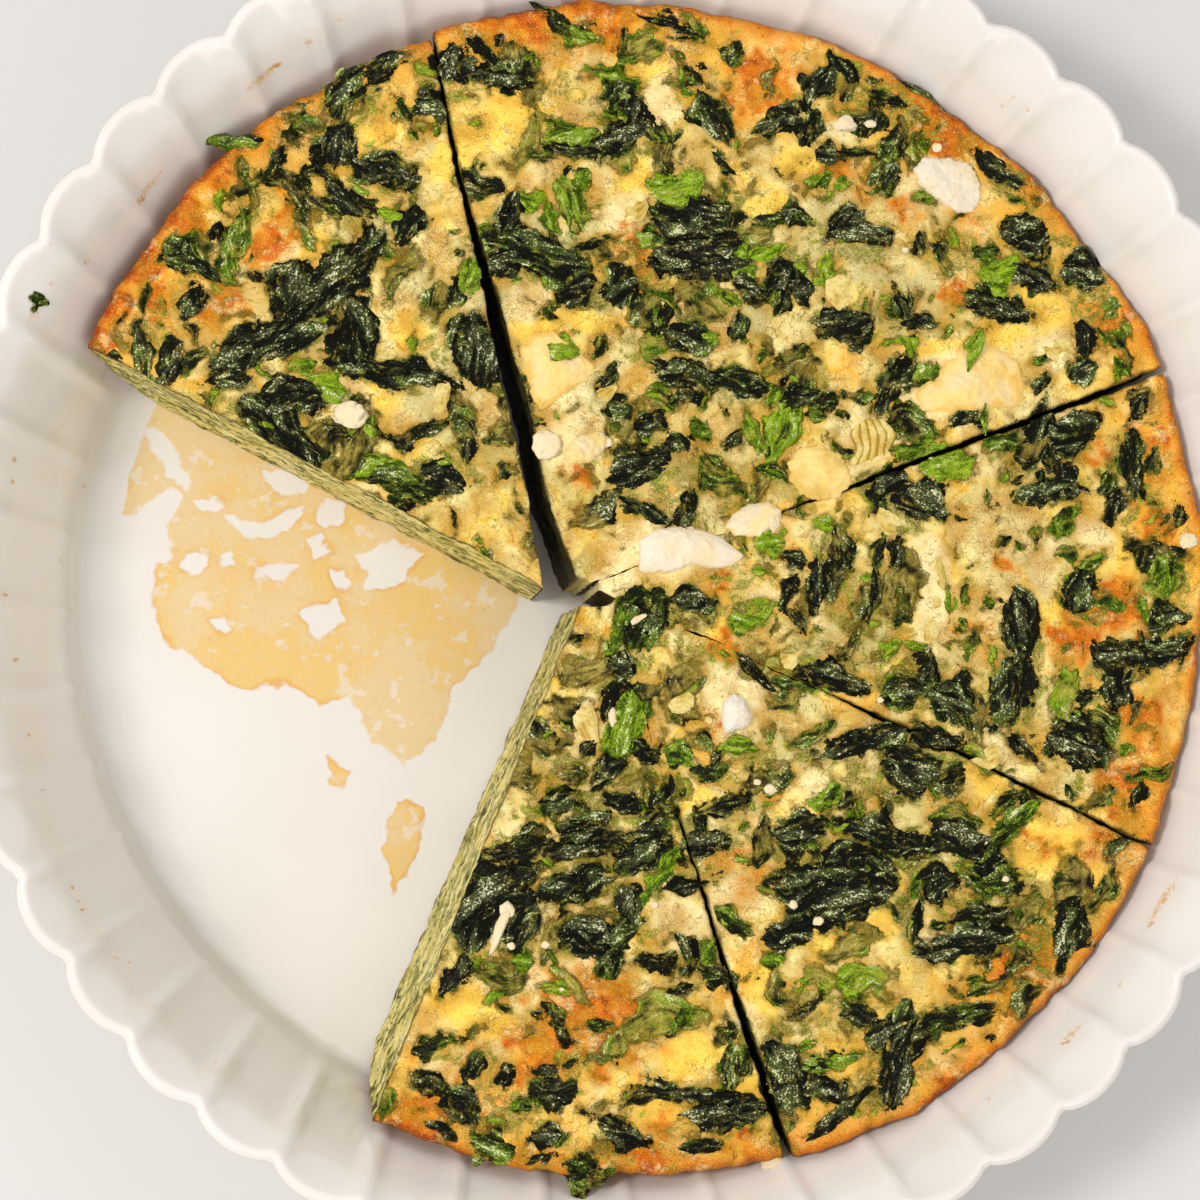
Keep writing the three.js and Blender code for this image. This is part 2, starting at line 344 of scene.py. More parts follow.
# Name, fineness, tip, first and last direction, start, drawn in, stand-off of both cuts, splay of the
# first one, and the cut that faces the open place.
WEDGES = [
    ("slice_upper_left", 0.5, (-15.6, -2.6), 102.0, 153.0, 2.2, 1.6, (1.7, 1.6, 1.7, 2.0, 1.6),
     (0.3, 0.3, 0.3), (0, 0, 0), 1),
    ("slice_top", 0.56, (-10.2, -1.2), 21.0, 104.4, 1.8, 0, (SHUT, SHUT, SHUT, 0.45, 0.5, 0.65, 0.75),
     (0, -2.5, -1.2, -1.9, -2.9, -2.6, -1.4), (0, 0, 0), None),
    ("slice_right", 0.5, (-9.0, -1.0), -23.4, 21.1, 2.4, 0, (SHUT, SHUT, SHUT, 0.25, 0.45, -0.25, -1.5),
     (SHUT, SHUT, SHUT, 0.35, 0.45, 0.5, 0.55), (0, 0, 0), None),
    ("slice_lower_right", 0.5, (-5.5, -2.6), -71.8, -23.5, 2.4, 0, (SHUT, SHUT, SHUT, 0.4, 0.5, 1.0, 1.1),
     (SHUT, SHUT, SHUT, 0.3, 0.4, 1.0, 2.1), (0, 0, 0), None),
    ("slice_bottom", 0.5, (-7.4, 3.1), -111.9, -71.7, 8.5, 0.4, (0.3, 0.3, 0.3),
     (SHUT, SHUT, SHUT, 0.4, 0.5, 1.1, 0.8), (0.8, 2.4, 4), 0),
]
SWELLS = [  # height, wavelength, direction, phase
    (0.85, 61, 25, 40), (0.7, 43, 118, 190), (0.6, 33, 71, 300), (0.5, 26, 160, 75), (0.45, 21, 12, 240),
]


def swell(x, y):
    """The slow swells of the baked top."""
    height = 0
    for size, wavelength, direction, phase in SWELLS:
        run = x * math.cos(math.radians(direction)) + y * math.sin(math.radians(direction))
        height = height + size * np.sin(math.tau * run / wavelength + math.radians(phase))
    return height


def ripple(x, y, cell, seed):
    """Smooth gradient noise, mostly between -1 and 1, whose lumps are about cell millimetres wide."""
    u = (0.8 * x - 0.6 * y) / cell + 17.3 * seed
    v = (0.6 * x + 0.8 * y) / cell - 9.1 * seed
    i, j = np.floor(u), np.floor(v)
    u, v = u - i, v - j

    def corner(a, b):
        scatter = np.sin((i + a) * 127.1 + (j + b) * 311.7 + seed * 74.7) * 43758.5453
        lean = math.tau * (scatter - np.floor(scatter))
        return np.cos(lean) * (u - a) + np.sin(lean) * (v - b)

    su, sv = (t * t * t * (t * (6 * t - 15) + 10) for t in (u, v))
    near = corner(0, 0) * (1 - su) + corner(1, 0) * su
    far = corner(0, 1) * (1 - su) + corner(1, 1) * su
    return 1.7 * (near * (1 - sv) + far * sv)


def soft(x, low, high):
    """0 below low and 1 above high, with a soft step between."""
    t = np.clip((x - low) / (high - low), 0, 1)
    return t * t * (3 - 2 * t)


def puffs(x, y):
    """How far the custard's puffs, which meet in soft creases, stand over the swells."""
    wide = 1 - np.abs(ripple(x, y, 9, 1)) * 1.5
    small = 1 - np.abs(ripple(x, y, 4.8, 2)) * 1.5
    return 0.7 * wide + 0.18 * small + 0.08 * ripple(x, y, 2.3, 3) - 0.45


# What shows in the top skin: across and down in the picture, length and width there, turn, tone, and
# the film of custard over it. A tone of 0 is nearly black, 0.5 a dull green and 1 a bright one.
LEAVES = [
    # the upper left wedge
    (330, 285, 150, 40, 42, 0.08, 0), (268, 345, 110, 40, 25, 0.05, 0.1), (290, 290, 60, 28, 70, 0.1, 0.1),
    (354, 332, 68, 44, 100, 0.05, 0), (337, 143, 46, 32, 70, 0.02, 0), (349, 196, 62, 24, -48, 0.02, 0),
    (324, 204, 36, 20, -60, 0.15, 0.3), (383, 168, 60, 34, -25, 0.12, 0), (237, 237, 56, 28, 80, 0.5, 0.35),
    (179, 258, 32, 30, 0, 0.2, 0.2), (201, 262, 46, 12, -50, 0.1, 0), (191, 303, 32, 22, 60, 0.02, 0),
    (378, 65, 64, 26, 10, 0.12, 0), (345, 88, 48, 32, 45, 0.2, 0.1), (276, 160, 36, 11, 62, 0.15, 0),
    (145, 296, 28, 10, 85, 0.3, 0.2), (140, 349, 42, 16, 95, 0.2, 0.2), (168, 365, 44, 26, 70, 0.1, 0.1),
    (194, 360, 26, 26, 0, 0.35, 0.4), (112, 355, 12, 10, 0, 0.3, 0), (288, 400, 60, 40, 10, 0.05, 0),
    (282, 432, 92, 46, -35, 0.12, 0), (301, 365, 28, 14, 20, 0.8, 0.3), (329, 385, 34, 22, -20, 0.85, 0.2),
    (390, 212, 24, 14, 0, 0.85, 0.2), (476, 350, 62, 50, 80, 0.05, 0), (395, 372, 120, 26, -8, 0.08, 0),
    (400, 484, 80, 26, -8, 0.35, 0.1), (385, 470, 44, 26, 10, 0.85, 0.1), (445, 478, 50, 22, -20, 0.1, 0),
    (410, 222, 38, 30, 70, 0.12, 0), (408, 179, 30, 18, 20, 0.2, 0.2), (431, 105, 30, 28, 0, 0.1, 0),
    (471, 273, 30, 18, 80, 0.7, 0.2), (400, 270, 60, 16, 60, 0.3, 0.6), (250, 180, 44, 16, 45, 0.3, 0.5),
    (310, 120, 40, 20, 40, 0.3, 0.4), (350, 410, 40, 26, 30, 0.2, 0.4), (440, 300, 34, 22, 70, 0.3, 0.6),
    (460, 430, 30, 30, 0, 0.25, 0.4), (415, 344, 16, 8, 80, 0.9, 0), (230, 380, 40, 18, 10, 0.1, 0.1),
    (300, 330, 60, 20, 30, 0.7, 0.6), (228, 141, 60, 17, 2, 0.5, 0), (250, 140, 26, 14, 10, 0.15, 0),
    # the top wedge
    (453, 64, 34, 38, 80, 0.0, 0), (498, 76, 56, 24, -12, 0.08, 0), (484, 51, 40, 14, -40, 0.1, 0.1),
    (510, 61, 44, 38, 60, 0.25, 0.4), (558, 16, 56, 14, -32, 0.25, 0), (580, 33, 28, 15, -20, 0.6, 0.2),
    (640, 46, 46, 32, 0, 0.5, 0.5), (668, 23, 72, 6, -20, 0.1, 0), (734, 54, 26, 24, 60, 0.3, 0.1),
    (694, 70, 44, 14, -45, 0.15, 0.5), (683, 79, 32, 14, 20, 0.35, 0.5), (711, 115, 48, 30, -62, 0.2, 0),
    (783, 122, 46, 38, 0, 0.05, 0), (612, 74, 52, 20, -5, 0.7, 0.4), (622, 88, 28, 20, 40, 0.2, 0),
    (573, 133, 46, 26, 15, 0.7, 0.2), (632, 112, 42, 28, 70, 0.02, 0), (619, 136, 62, 30, 20, 0.05, 0),
    (652, 130, 32, 14, -40, 0.3, 0.1), (580, 150, 62, 13, -8, 0.1, 0), (545, 158, 34, 14, 10, 0.3, 0.4),
    (584, 178, 22, 20, 40, 0.65, 0.1), (479, 181, 42, 24, -12, 0.12, 0.1), (530, 201, 24, 20, 0, 0.85, 0),
    (550, 217, 24, 15, 110, 0.7, 0.1), (510, 214, 44, 24, 80, 0.06, 0), (489, 235, 26, 22, 60, 0.85, 0.4),
    (538, 254, 94, 44, -12, 0.2, 0), (505, 262, 44, 34, 20, 0.0, 0), (576, 288, 34, 28, 20, 0.05, 0),
    (619, 286, 42, 32, 40, 0.02, 0), (645, 306, 42, 36, 60, 0.3, 0.5), (670, 298, 34, 8, -40, 0.4, 0),
    (701, 301, 44, 22, -25, 0.4, 0.6), (676, 184, 52, 38, 20, 0.95, 0), (696, 217, 84, 42, -10, 0.1, 0),
    (653, 235, 26, 20, 0, 0.5, 0.1), (706, 258, 96, 42, -5, 0.03, 0), (742, 265, 28, 28, 0, 0.72, 0),
    (767, 252, 34, 13, 30, 0.85, 0), (752, 286, 36, 24, -20, 0.08, 0.2), (785, 275, 30, 42, 60, 0.05, 0),
    (755, 232, 28, 24, 0, 0.35, 0.6), (772, 217, 32, 11, 15, 0.2, 0.2), (795, 217, 28, 20, 0, 0.15, 0),
    (724, 163, 32, 9, -42, 0.2, 0), (688, 334, 50, 28, -20, 0.12, 0), (711, 335, 18, 14, 0, 0.8, 0),
    (739, 327, 24, 18, 70, 0.15, 0), (680, 372, 60, 30, -10, 0.1, 0), (735, 384, 90, 22, -14, 0.12, 0),
    (477, 340, 30, 26, 0, 0.3, 0.2), (563, 350, 30, 22, -20, 0.8, 0), (609, 380, 26, 14, 40, 0.2, 0),
    (585, 245, 54, 8, 15, 0.15, 0.3), (655, 345, 20, 26, 0, 0.6, 0.6), (843, 71, 34, 16, -50, 0.05, 0),
    (818, 88, 42, 30, 60, 0.03, 0), (810, 128, 38, 26, 70, 0.1, 0.1), (871, 122, 32, 26, 60, 0.2, 0),
    (887, 97, 46, 13, -25, 0.2, 0.2), (920, 88, 46, 10, -28, 0.1, 0.2), (826, 153, 28, 22, 0, 0.1, 0),
    (859, 150, 38, 8, -5, 0.2, 0), (820, 179, 26, 12, 40, 0.6, 0), (887, 173, 34, 22, 60, 0.25, 0.2),
    (925, 196, 24, 13, 10, 0.65, 0.3), (1004, 168, 60, 18, -38, 0.05, 0), (1017, 196, 20, 12, -40, 0.4, 0.4),
    (845, 225, 46, 26, 40, 0.02, 0), (862, 234, 56, 24, -5, 0.02, 0), (841, 238, 12, 8, 60, 0.85, 0),
    (1027, 230, 50, 46, 25, 0.0, 0), (989, 250, 24, 15, 0, 0.4, 0.1), (1001, 273, 32, 38, 0, 0.98, 0),
    (1035, 276, 46, 32, -20, 0.0, 0), (1088, 270, 44, 40, 0, 0.12, 0), (828, 268, 28, 16, 80, 0.75, 0.3),
    (846, 324, 50, 44, 20, 0.0, 0), (805, 288, 18, 32, 0, 0.0, 0), (900, 305, 36, 14, -65, 0.02, 0),
    (920, 323, 36, 14, 0, 0.02, 0), (999, 306, 66, 28, -15, 0.06, 0), (976, 350, 46, 12, 70, 0.85, 0),
    (928, 372, 28, 20, 30, 0.6, 0), (1086, 332, 32, 16, 110, 0.05, 0), (1086, 370, 30, 24, 30, 0.12, 0),
    (1114, 309, 20, 14, 40, 0.4, 0.3), (1042, 383, 22, 14, 60, 0.15, 0), (1120, 350, 44, 14, -50, 0.3, 0.5),
    (920, 245, 26, 12, 80, 0.1, 0.2), (945, 262, 34, 16, -50, 0.25, 0.4), (785, 428, 60, 30, 70, 0.7, 0),
    (757, 431, 38, 18, 110, 0.75, 0.1), (825, 408, 34, 26, 0, 0.3, 0.2), (910, 425, 46, 34, 0, 0.3, 0.3),
    (963, 420, 28, 16, 40, 0.03, 0), (984, 420, 28, 8, 88, 0.7, 0), (910, 448, 42, 12, 12, 0.6, 0.1),
    (640, 466, 60, 36, 10, 0.03, 0), (645, 425, 26, 18, 0, 0.05, 0), (678, 443, 24, 20, -40, 0.1, 0.1),
    (701, 428, 22, 20, 0, 0.5, 0), (724, 476, 38, 32, 0, 0.45, 0.5), (686, 510, 36, 22, 80, 0.1, 0.1),
    (645, 512, 52, 13, -25, 0.1, 0), (777, 474, 28, 13, -30, 0.4, 0.1), (619, 408, 22, 18, 0, 0.3, 0),
    (735, 438, 20, 14, 60, 0.05, 0.2), (800, 395, 40, 20, 10, 0.15, 0.1), (860, 395, 34, 14, 20, 0.3, 0.5),
    (600, 345, 24, 12, 70, 0.3, 0.3), (800, 350, 30, 16, 30, 0.3, 0.5), (775, 395, 26, 12, 60, 0.5, 0.2),
    # the right wedge
    (945, 466, 50, 32, 5, 0.85, 0), (1004, 441, 38, 22, 30, 0.45, 0.3), (1040, 425, 42, 24, 70, 0.03, 0),
    (1075, 432, 50, 46, 0, 0.12, 0), (889, 482, 30, 28, 0, 0.0, 0), (920, 502, 46, 38, -20, 0.04, 0),
    (825, 525, 22, 17, 0, 0.85, 0), (1048, 490, 56, 26, 20, 0.15, 0), (1070, 482, 30, 26, -50, 0.02, 0),
    (1065, 522, 32, 20, 60, 0.55, 0.2), (1137, 461, 62, 28, 85, 0.12, 0), (1109, 482, 26, 18, 60, 0.3, 0.1),
    (1117, 508, 40, 22, 80, 0.0, 0), (1139, 408, 22, 16, 60, 0.1, 0), (1180, 515, 24, 14, 80, 0.12, 0.2),
    (1093, 561, 28, 13, 30, 0.6, 0.1), (1081, 592, 42, 34, 60, 0.1, 0.1), (1165, 576, 46, 38, 80, 0.6, 0.3),
    (1170, 617, 36, 26, 20, 0.15, 0), (838, 563, 66, 32, 85, 0.15, 0.35), (818, 584, 52, 20, 85, 0.06, 0),
    (874, 594, 52, 8, 85, 0.02, 0), (897, 553, 26, 12, 80, 0.02, 0), (879, 553, 32, 12, 70, 0.3, 0.2),
    (950, 601, 27, 7, 100, 0.8, 0), (991, 603, 11, 9, 0, 0.5, 0), (1019, 625, 74, 34, 100, 0.06, 0),
    (1012, 690, 66, 36, 82, 0.12, 0), (1028, 748, 40, 11, -42, 0.03, 0), (928, 668, 34, 24, 70, 0.06, 0),
    (910, 690, 46, 30, 0, 0.25, 0.2), (953, 703, 48, 34, -30, 0.15, 0), (835, 676, 72, 26, -12, 0.08, 0.1),
    (940, 737, 48, 20, 0, 0.0, 0), (1115, 655, 46, 34, 0, 0.12, 0.1), (1160, 652, 66, 26, 10, 0.06, 0),
    (1119, 690, 34, 24, 70, 0.06, 0), (1081, 745, 66, 46, -20, 0.1, 0.1), (1063, 693, 56, 28, 100, 0.85, 0.5),
    (1105, 720, 20, 30, 0, 0.3, 0.5), (855, 640, 46, 16, 60, 0.3, 0.5), (900, 610, 36, 14, 80, 0.35, 0.5),
    (1150, 560, 26, 16, 60, 0.3, 0.3), (1040, 540, 24, 10, 70, 0.4, 0.4), (975, 640, 26, 10, 80, 0.4, 0.5),
    (790, 590, 30, 16, 60, 0.15, 0.1), (860, 610, 36, 20, 80, 0.2, 0.5), (1030, 450, 34, 24, 30, 0.2, 0.4),
    (1160, 460, 24, 12, 80, 0.2, 0.3), (895, 650, 20, 9, 40, 0.8, 0.1), (798, 620, 34, 12, -50, 0.1, 0.1),
    # the lower right wedge
    (864, 741, 98, 24, 22, 0.15, 0.1), (912, 766, 60, 46, -10, 0.08, 0), (950, 780, 38, 24, 20, 0.15, 0.2),
    (825, 795, 30, 20, 20, 0.7, 0.1), (884, 833, 92, 28, -15, 0.06, 0.1), (917, 843, 42, 26, 0, 0.0, 0),
    (963, 843, 68, 36, 0, 0.0, 0), (1024, 815, 46, 20, 40, 0.5, 0), (999, 846, 52, 12, 40, 0.45, 0.1),
    (996, 866, 28, 24, 0, 0.02, 0), (838, 888, 112, 70, 8, 0.1, 0), (943, 886, 36, 34, 30, 0.02, 0),
    (1004, 884, 32, 24, 0, 0.3, 0.1), (917, 922, 44, 12, 78, 0.1, 0), (984, 912, 44, 24, 10, 0.12, 0.1),
    (966, 942, 100, 32, 10, 0.02, 0), (1073, 930, 54, 36, 62, 0.1, 0), (1063, 966, 28, 13, 70, 0.2, 0),
    (866, 979, 48, 28, 30, 0.85, 0.4), (820, 984, 42, 30, 0, 0.8, 0.5), (859, 1014, 38, 15, -10, 0.12, 0.1),
    (902, 1012, 26, 20, 60, 0.2, 0), (882, 1032, 40, 30, 20, 0.02, 0), (955, 1022, 84, 24, 12, 0.3, 0.1),
    (902, 1066, 86, 36, 68, 0.0, 0), (838, 1116, 84, 13, 38, 0.05, 0), (826, 1088, 46, 28, 10, 0.02, 0),
    (815, 1066, 30, 16, 10, 0.5, 0.1), (843, 1060, 38, 14, 10, 0.6, 0.1), (788, 935, 42, 40, 0, 0.0, 0),
    (770, 963, 18, 12, 0, 0.75, 0), (736, 922, 44, 18, -35, 0.35, 0.1), (785, 1075, 62, 40, -55, 0.06, 0),
    (1104, 892, 36, 26, 60, 0.3, 0.5), (1029, 908, 40, 30, 20, 0.3, 0.5), (1025, 998, 40, 26, 30, 0.25, 0.55),
    (645, 617, 62, 42, 60, 0.25, 0), (691, 601, 38, 24, 0, 0.05, 0.2), (622, 630, 32, 14, 80, 0.5, 0.1),
    (744, 624, 24, 18, 0, 0.75, 0), (757, 607, 34, 13, 30, 0.8, 0.3), (757, 672, 54, 11, -40, 0.06, 0),
    (683, 757, 30, 22, 0, 0.6, 0), (737, 747, 36, 20, 0, 0.78, 0), (709, 770, 38, 15, 10, 0.45, 0),
    (645, 752, 32, 20, -20, 0.02, 0), (741, 861, 16, 8, 0, 0.6, 0.2), (760, 840, 46, 22, 60, 0.2, 0.4),
    (800, 830, 50, 30, 10, 0.1, 0.1), (770, 780, 46, 24, 30, 0.2, 0.4), (725, 805, 50, 20, 20, 0.15, 0.3),
    (810, 735, 40, 16, 40, 0.3, 0.4), (790, 700, 36, 24, 20, 0.3, 0.5), (772, 542, 24, 26, 0, 0.95, 0),
    (795, 560, 24, 20, 0, 0.1, 0.2), (1010, 800, 30, 12, 30, 0.3, 0.2), (1142, 795, 24, 14, 60, 0.1, 0.1),
    (1100, 800, 40, 18, 40, 0.2, 0.4), (780, 990, 40, 16, -60, 0.3, 0.4), (805, 1010, 34, 14, 30, 0.2, 0.3),
    (850, 945, 50, 22, 20, 0.4, 0.6), (795, 880, 40, 26, 0, 0.15, 0.2), (1120, 850, 36, 14, 60, 0.2, 0.4),
    (990, 985, 40, 16, 20, 0.3, 0.5),
    # the bottom wedge
    (627, 724, 66, 34, 75, 0.75, 0), (607, 706, 32, 12, 80, 0.0, 0), (619, 668, 28, 24, 0, 0.05, 0.1),
    (489, 907, 84, 60, 40, 0.0, 0), (455, 972, 40, 22, 50, 0.0, 0), (520, 930, 50, 30, 60, 0.05, 0.1),
    (558, 848, 180, 20, 8, 0.08, 0.1), (586, 826, 50, 24, 10, 0.0, 0), (578, 884, 72, 26, 15, 0.1, 0.1),
    (645, 851, 64, 38, 20, 0.12, 0), (663, 869, 50, 18, 50, 0.72, 0.2), (709, 843, 40, 22, 15, 0.02, 0),
    (683, 887, 42, 14, 10, 0.0, 0), (630, 905, 38, 24, 80, 0.08, 0.1), (589, 938, 56, 34, -10, 0.0, 0),
    (624, 935, 32, 24, 30, 0.2, 0.1), (614, 966, 28, 20, 60, 0.3, 0), (522, 963, 20, 16, 0, 0.6, 0),
    (500, 975, 42, 28, 0, 0.35, 0.45), (658, 963, 38, 15, 0, 0.08, 0.1), (681, 989, 32, 11, 10, 0.1, 0.2),
    (711, 950, 26, 15, 60, 0.5, 0.1), (719, 975, 32, 22, -30, 0.22, 0.1), (668, 1017, 78, 44, 10, 0.6, 0.6),
    (683, 1019, 22, 11, 80, 0.5, 0), (563, 1037, 18, 12, -20, 0.05, 0), (476, 1068, 28, 22, 60, 0.2, 0.1),
    (507, 1078, 24, 14, 40, 0.1, 0.1), (431, 1083, 28, 18, -30, 0.08, 0.1),
    (459, 1106, 42, 32, -30, 0.15, 0.1), (443, 1132, 36, 12, -30, 0.04, 0),
    (494, 1149, 42, 34, -20, 0.4, 0.2), (555, 1093, 40, 34, 0, 0.18, 0), (548, 1070, 18, 13, 0, 0.02, 0),
    (522, 1106, 22, 14, 0, 0.5, 0.1), (548, 1137, 28, 24, 0, 0.04, 0), (540, 1160, 26, 10, 20, 0.0, 0),
    (622, 1134, 54, 24, -22, 0.0, 0), (586, 1170, 54, 30, 0, 0.3, 0.1), (584, 1184, 36, 20, 80, 0.3, 0),
    (727, 1114, 80, 34, 5, 0.06, 0), (701, 1149, 44, 14, 2, 0.1, 0), (688, 1094, 96, 14, 0, 0.1, 0.1),
    (734, 1068, 40, 30, 100, 0.3, 0.2), (640, 1100, 30, 12, 20, 0.3, 0.3), (425, 1050, 24, 16, 20, 0.2, 0.2),
    (560, 800, 40, 22, 20, 0.2, 0.3), (610, 770, 40, 22, 40, 0.1, 0.1), (575, 775, 30, 16, 0, 0.3, 0.3),
    (660, 815, 40, 20, 30, 0.15, 0.2), (625, 800, 34, 20, 0, 0.05, 0), (590, 745, 26, 14, 60, 0.1, 0.1),
    (520, 880, 40, 18, 20, 0.1, 0.1), (470, 1030, 26, 10, 20, 0.3, 0.4), (600, 1060, 30, 10, 10, 0.3, 0.4),
    (725, 1035, 34, 20, 70, 0.3, 0.4), (660, 1080, 30, 12, 0, 0.25, 0.3),
]
# Where the skin has a colour of its own: across and down in the picture, length and width there, turn.
BLOTCHES = {
    (196, 186, 128): [  # custard that is clear enough to show what is under it
        (393, 230, 40, 36, 0), (314, 344, 34, 30, 0), (415, 290, 50, 70, 0), (495, 305, 60, 50, 40),
        (565, 225, 70, 50, 0), (735, 385, 60, 40, 0), (600, 395, 60, 40, 0), (830, 210, 50, 40, 0),
        (870, 260, 70, 50, 0), (900, 300, 70, 40, 20), (805, 250, 40, 50, 0), (590, 315, 60, 30, 0),
        (440, 400, 60, 80, 80), (1065, 350, 50, 50, 0), (870, 640, 60, 60, 0), (740, 320, 60, 30, 10),
        (630, 420, 60, 30, 0), (690, 700, 60, 40, 0), (520, 230, 50, 40, 0), (905, 930, 50, 30, 0),
        (830, 650, 60, 40, 30), (720, 560, 40, 50, 0), (700, 960, 60, 40, 0), (800, 745, 60, 40, 0),
        (560, 900, 60, 30, 0),
    ],
    (154, 138, 66): [  # the same over leaves
        (640, 415, 50, 30, 0), (690, 470, 50, 40, 0), (850, 600, 60, 60, 0), (890, 590, 50, 60, 0),
        (800, 380, 60, 40, 0), (930, 445, 40, 30, 0), (760, 470, 60, 40, 0), (600, 850, 70, 40, 0),
        (800, 860, 70, 50, 0), (1030, 900, 60, 50, 0), (500, 280, 50, 40, 0), (700, 1090, 60, 30, 0),
        (1090, 900, 50, 60, 0), (610, 690, 40, 60, 0), (780, 680, 60, 40, 0),
    ],
    (218, 194, 126): [  # dry and grainy
        (1004, 527, 90, 80, 0), (860, 190, 50, 40, 0), (739, 859, 70, 70, 30), (599, 907, 44, 40, 0),
        (690, 72, 60, 30, -30), (405, 205, 34, 60, 0), (300, 130, 60, 40, 40), (540, 50, 60, 40, 0),
        (1000, 600, 50, 60, 0), (570, 757, 44, 30, 0), (480, 1050, 60, 50, 0), (1110, 850, 60, 60, 0),
        (1030, 985, 60, 40, 30), (620, 100, 60, 30, 0), (590, 110, 60, 30, 0), (640, 1030, 60, 40, 0),
        (1100, 760, 60, 40, 0), (870, 980, 60, 30, 0), (900, 200, 50, 50, 0), (770, 160, 60, 40, 0),
    ],
    (251, 209, 86): [  # yolk yellow
        (191, 212, 54, 32, 65), (306, 250, 50, 30, 60), (383, 133, 54, 26, -10), (347, 158, 30, 26, 0),
        (500, 120, 110, 60, 20), (655, 339, 26, 26, 0), (640, 65, 50, 26, 0), (765, 205, 50, 30, 0),
        (1045, 306, 80, 40, -10), (1000, 330, 60, 30, 0), (622, 1088, 46, 30, 60), (693, 1055, 70, 36, 10),
        (476, 1017, 90, 40, -20), (448, 1000, 44, 40, 0), (1045, 846, 60, 60, 0), (879, 927, 46, 34, 30),
        (984, 777, 54, 30, -20), (1088, 879, 44, 30, 60), (770, 990, 34, 60, 0), (590, 322, 60, 30, 0),
        (540, 330, 60, 34, 0), (640, 200, 40, 60, 0), (665, 240, 40, 40, 0), (800, 160, 60, 30, 0),
        (410, 320, 30, 40, 0), (720, 630, 30, 30, 0), (1050, 620, 40, 60, 60), (940, 350, 80, 30, 20),
        (640, 170, 50, 40, 0), (1160, 360, 40, 60, 0), (660, 1110, 50, 30, 0), (380, 400, 40, 30, 0),
        (450, 160, 40, 50, 0), (970, 160, 50, 30, 0), (1130, 560, 30, 40, 0), (700, 800, 40, 24, 0),
        (820, 940, 50, 34, 0), (900, 880, 30, 20, 0), (1000, 1000, 50, 24, 20), (750, 1090, 30, 40, 0),
    ],
    (243, 225, 165): [  # cream and melted cheese
        (628, 215, 60, 50, 20), (660, 105, 44, 60, 0), (950, 385, 110, 70, 15), (930, 185, 70, 60, 0),
        (558, 378, 70, 56, -20), (572, 440, 70, 60, 0), (828, 468, 70, 46, -10), (935, 600, 120, 34, 85),
        (1050, 566, 66, 34, 75), (620, 590, 60, 56, 0), (660, 548, 110, 56, 0), (735, 690, 66, 60, 0),
        (990, 748, 70, 30, -30), (681, 922, 56, 60, 0), (548, 973, 90, 30, 0), (1093, 533, 44, 34, 0),
        (870, 440, 50, 60, 0), (584, 716, 60, 30, 75), (280, 260, 50, 30, 40), (480, 270, 30, 40, 0),
        (845, 125, 40, 26, 0), (600, 965, 60, 30, 0), (940, 945, 30, 60, 80), (765, 600, 30, 40, 0),
        (820, 790, 50, 34, 0), (350, 400, 50, 34, 0), (730, 720, 50, 50, 0), (530, 300, 50, 40, 0),
        (760, 690, 40, 40, 0), (1060, 350, 30, 50, 0), (740, 900, 40, 60, 80), (440, 1075, 50, 30, 0),
        (610, 1010, 60, 20, 0), (700, 360, 30, 20, 0), (930, 560, 50, 60, 0),
    ],
}
BROWNED = [  # across, down, radius, strength
    (98, 350, 20, 1.3), (118, 306, 22, 1.2), (146, 260, 22, 1.3), (180, 214, 22, 1.2), (216, 172, 22, 1.1),
    (260, 132, 20, 0.9), (293, 204, 26, 0.8), (275, 245, 26, 1.0), (219, 303, 26, 1.1), (520, 28, 60, 0.8),
    (765, 85, 44, 1.0), (943, 128, 44, 1.2), (1120, 604, 38, 1.1), (1075, 635, 30, 1.0), (1157, 525, 24, 1.2),
    (1139, 719, 34, 1.1), (1126, 783, 34, 1.0), (590, 1020, 62, 1.0), (550, 1050, 46, 0.9),
    (1030, 956, 34, 1.0), (990, 985, 34, 0.7), (1050, 850, 36, 0.5), (1157, 440, 34, 0.8),
    (843, 163, 20, 0.8), (905, 212, 22, 0.8), (973, 225, 20, 0.7), (953, 293, 20, 0.9), (1114, 332, 30, 1.0),
    (1037, 179, 14, 1.1), (714, 584, 15, 1.0), (727, 645, 15, 1.0), (709, 711, 18, 0.7), (576, 474, 16, 1.0),
    (658, 1124, 20, 0.8), (640, 245, 30, 0.8), (640, 275, 24, 0.7), (640, 1157, 30, 0.9),
    (480, 1120, 30, 0.7), (430, 1120, 40, 1.0), (744, 1139, 24, 0.8), (1100, 840, 24, 0.8),
    (1165, 700, 24, 0.7), (720, 1000, 22, 0.5), (160, 300, 24, 0.7), (690, 70, 24, 0.6), (600, 20, 40, 0.8),
    (860, 180, 20, 0.6), (340, 130, 16, 0.7), (480, 1060, 20, 0.6), (1000, 860, 20, 0.4),
    (1090, 420, 14, 0.6), (1100, 450, 20, 0.7), (590, 905, 12, 0.5), (1010, 565, 14, 0.7),
    (980, 625, 16, 0.6), (645, 735, 14, 0.5), (740, 870, 34, 0.6), (1145, 640, 24, 0.8),
    (1010, 1000, 30, 0.8), (940, 1080, 30, 0.6),
]


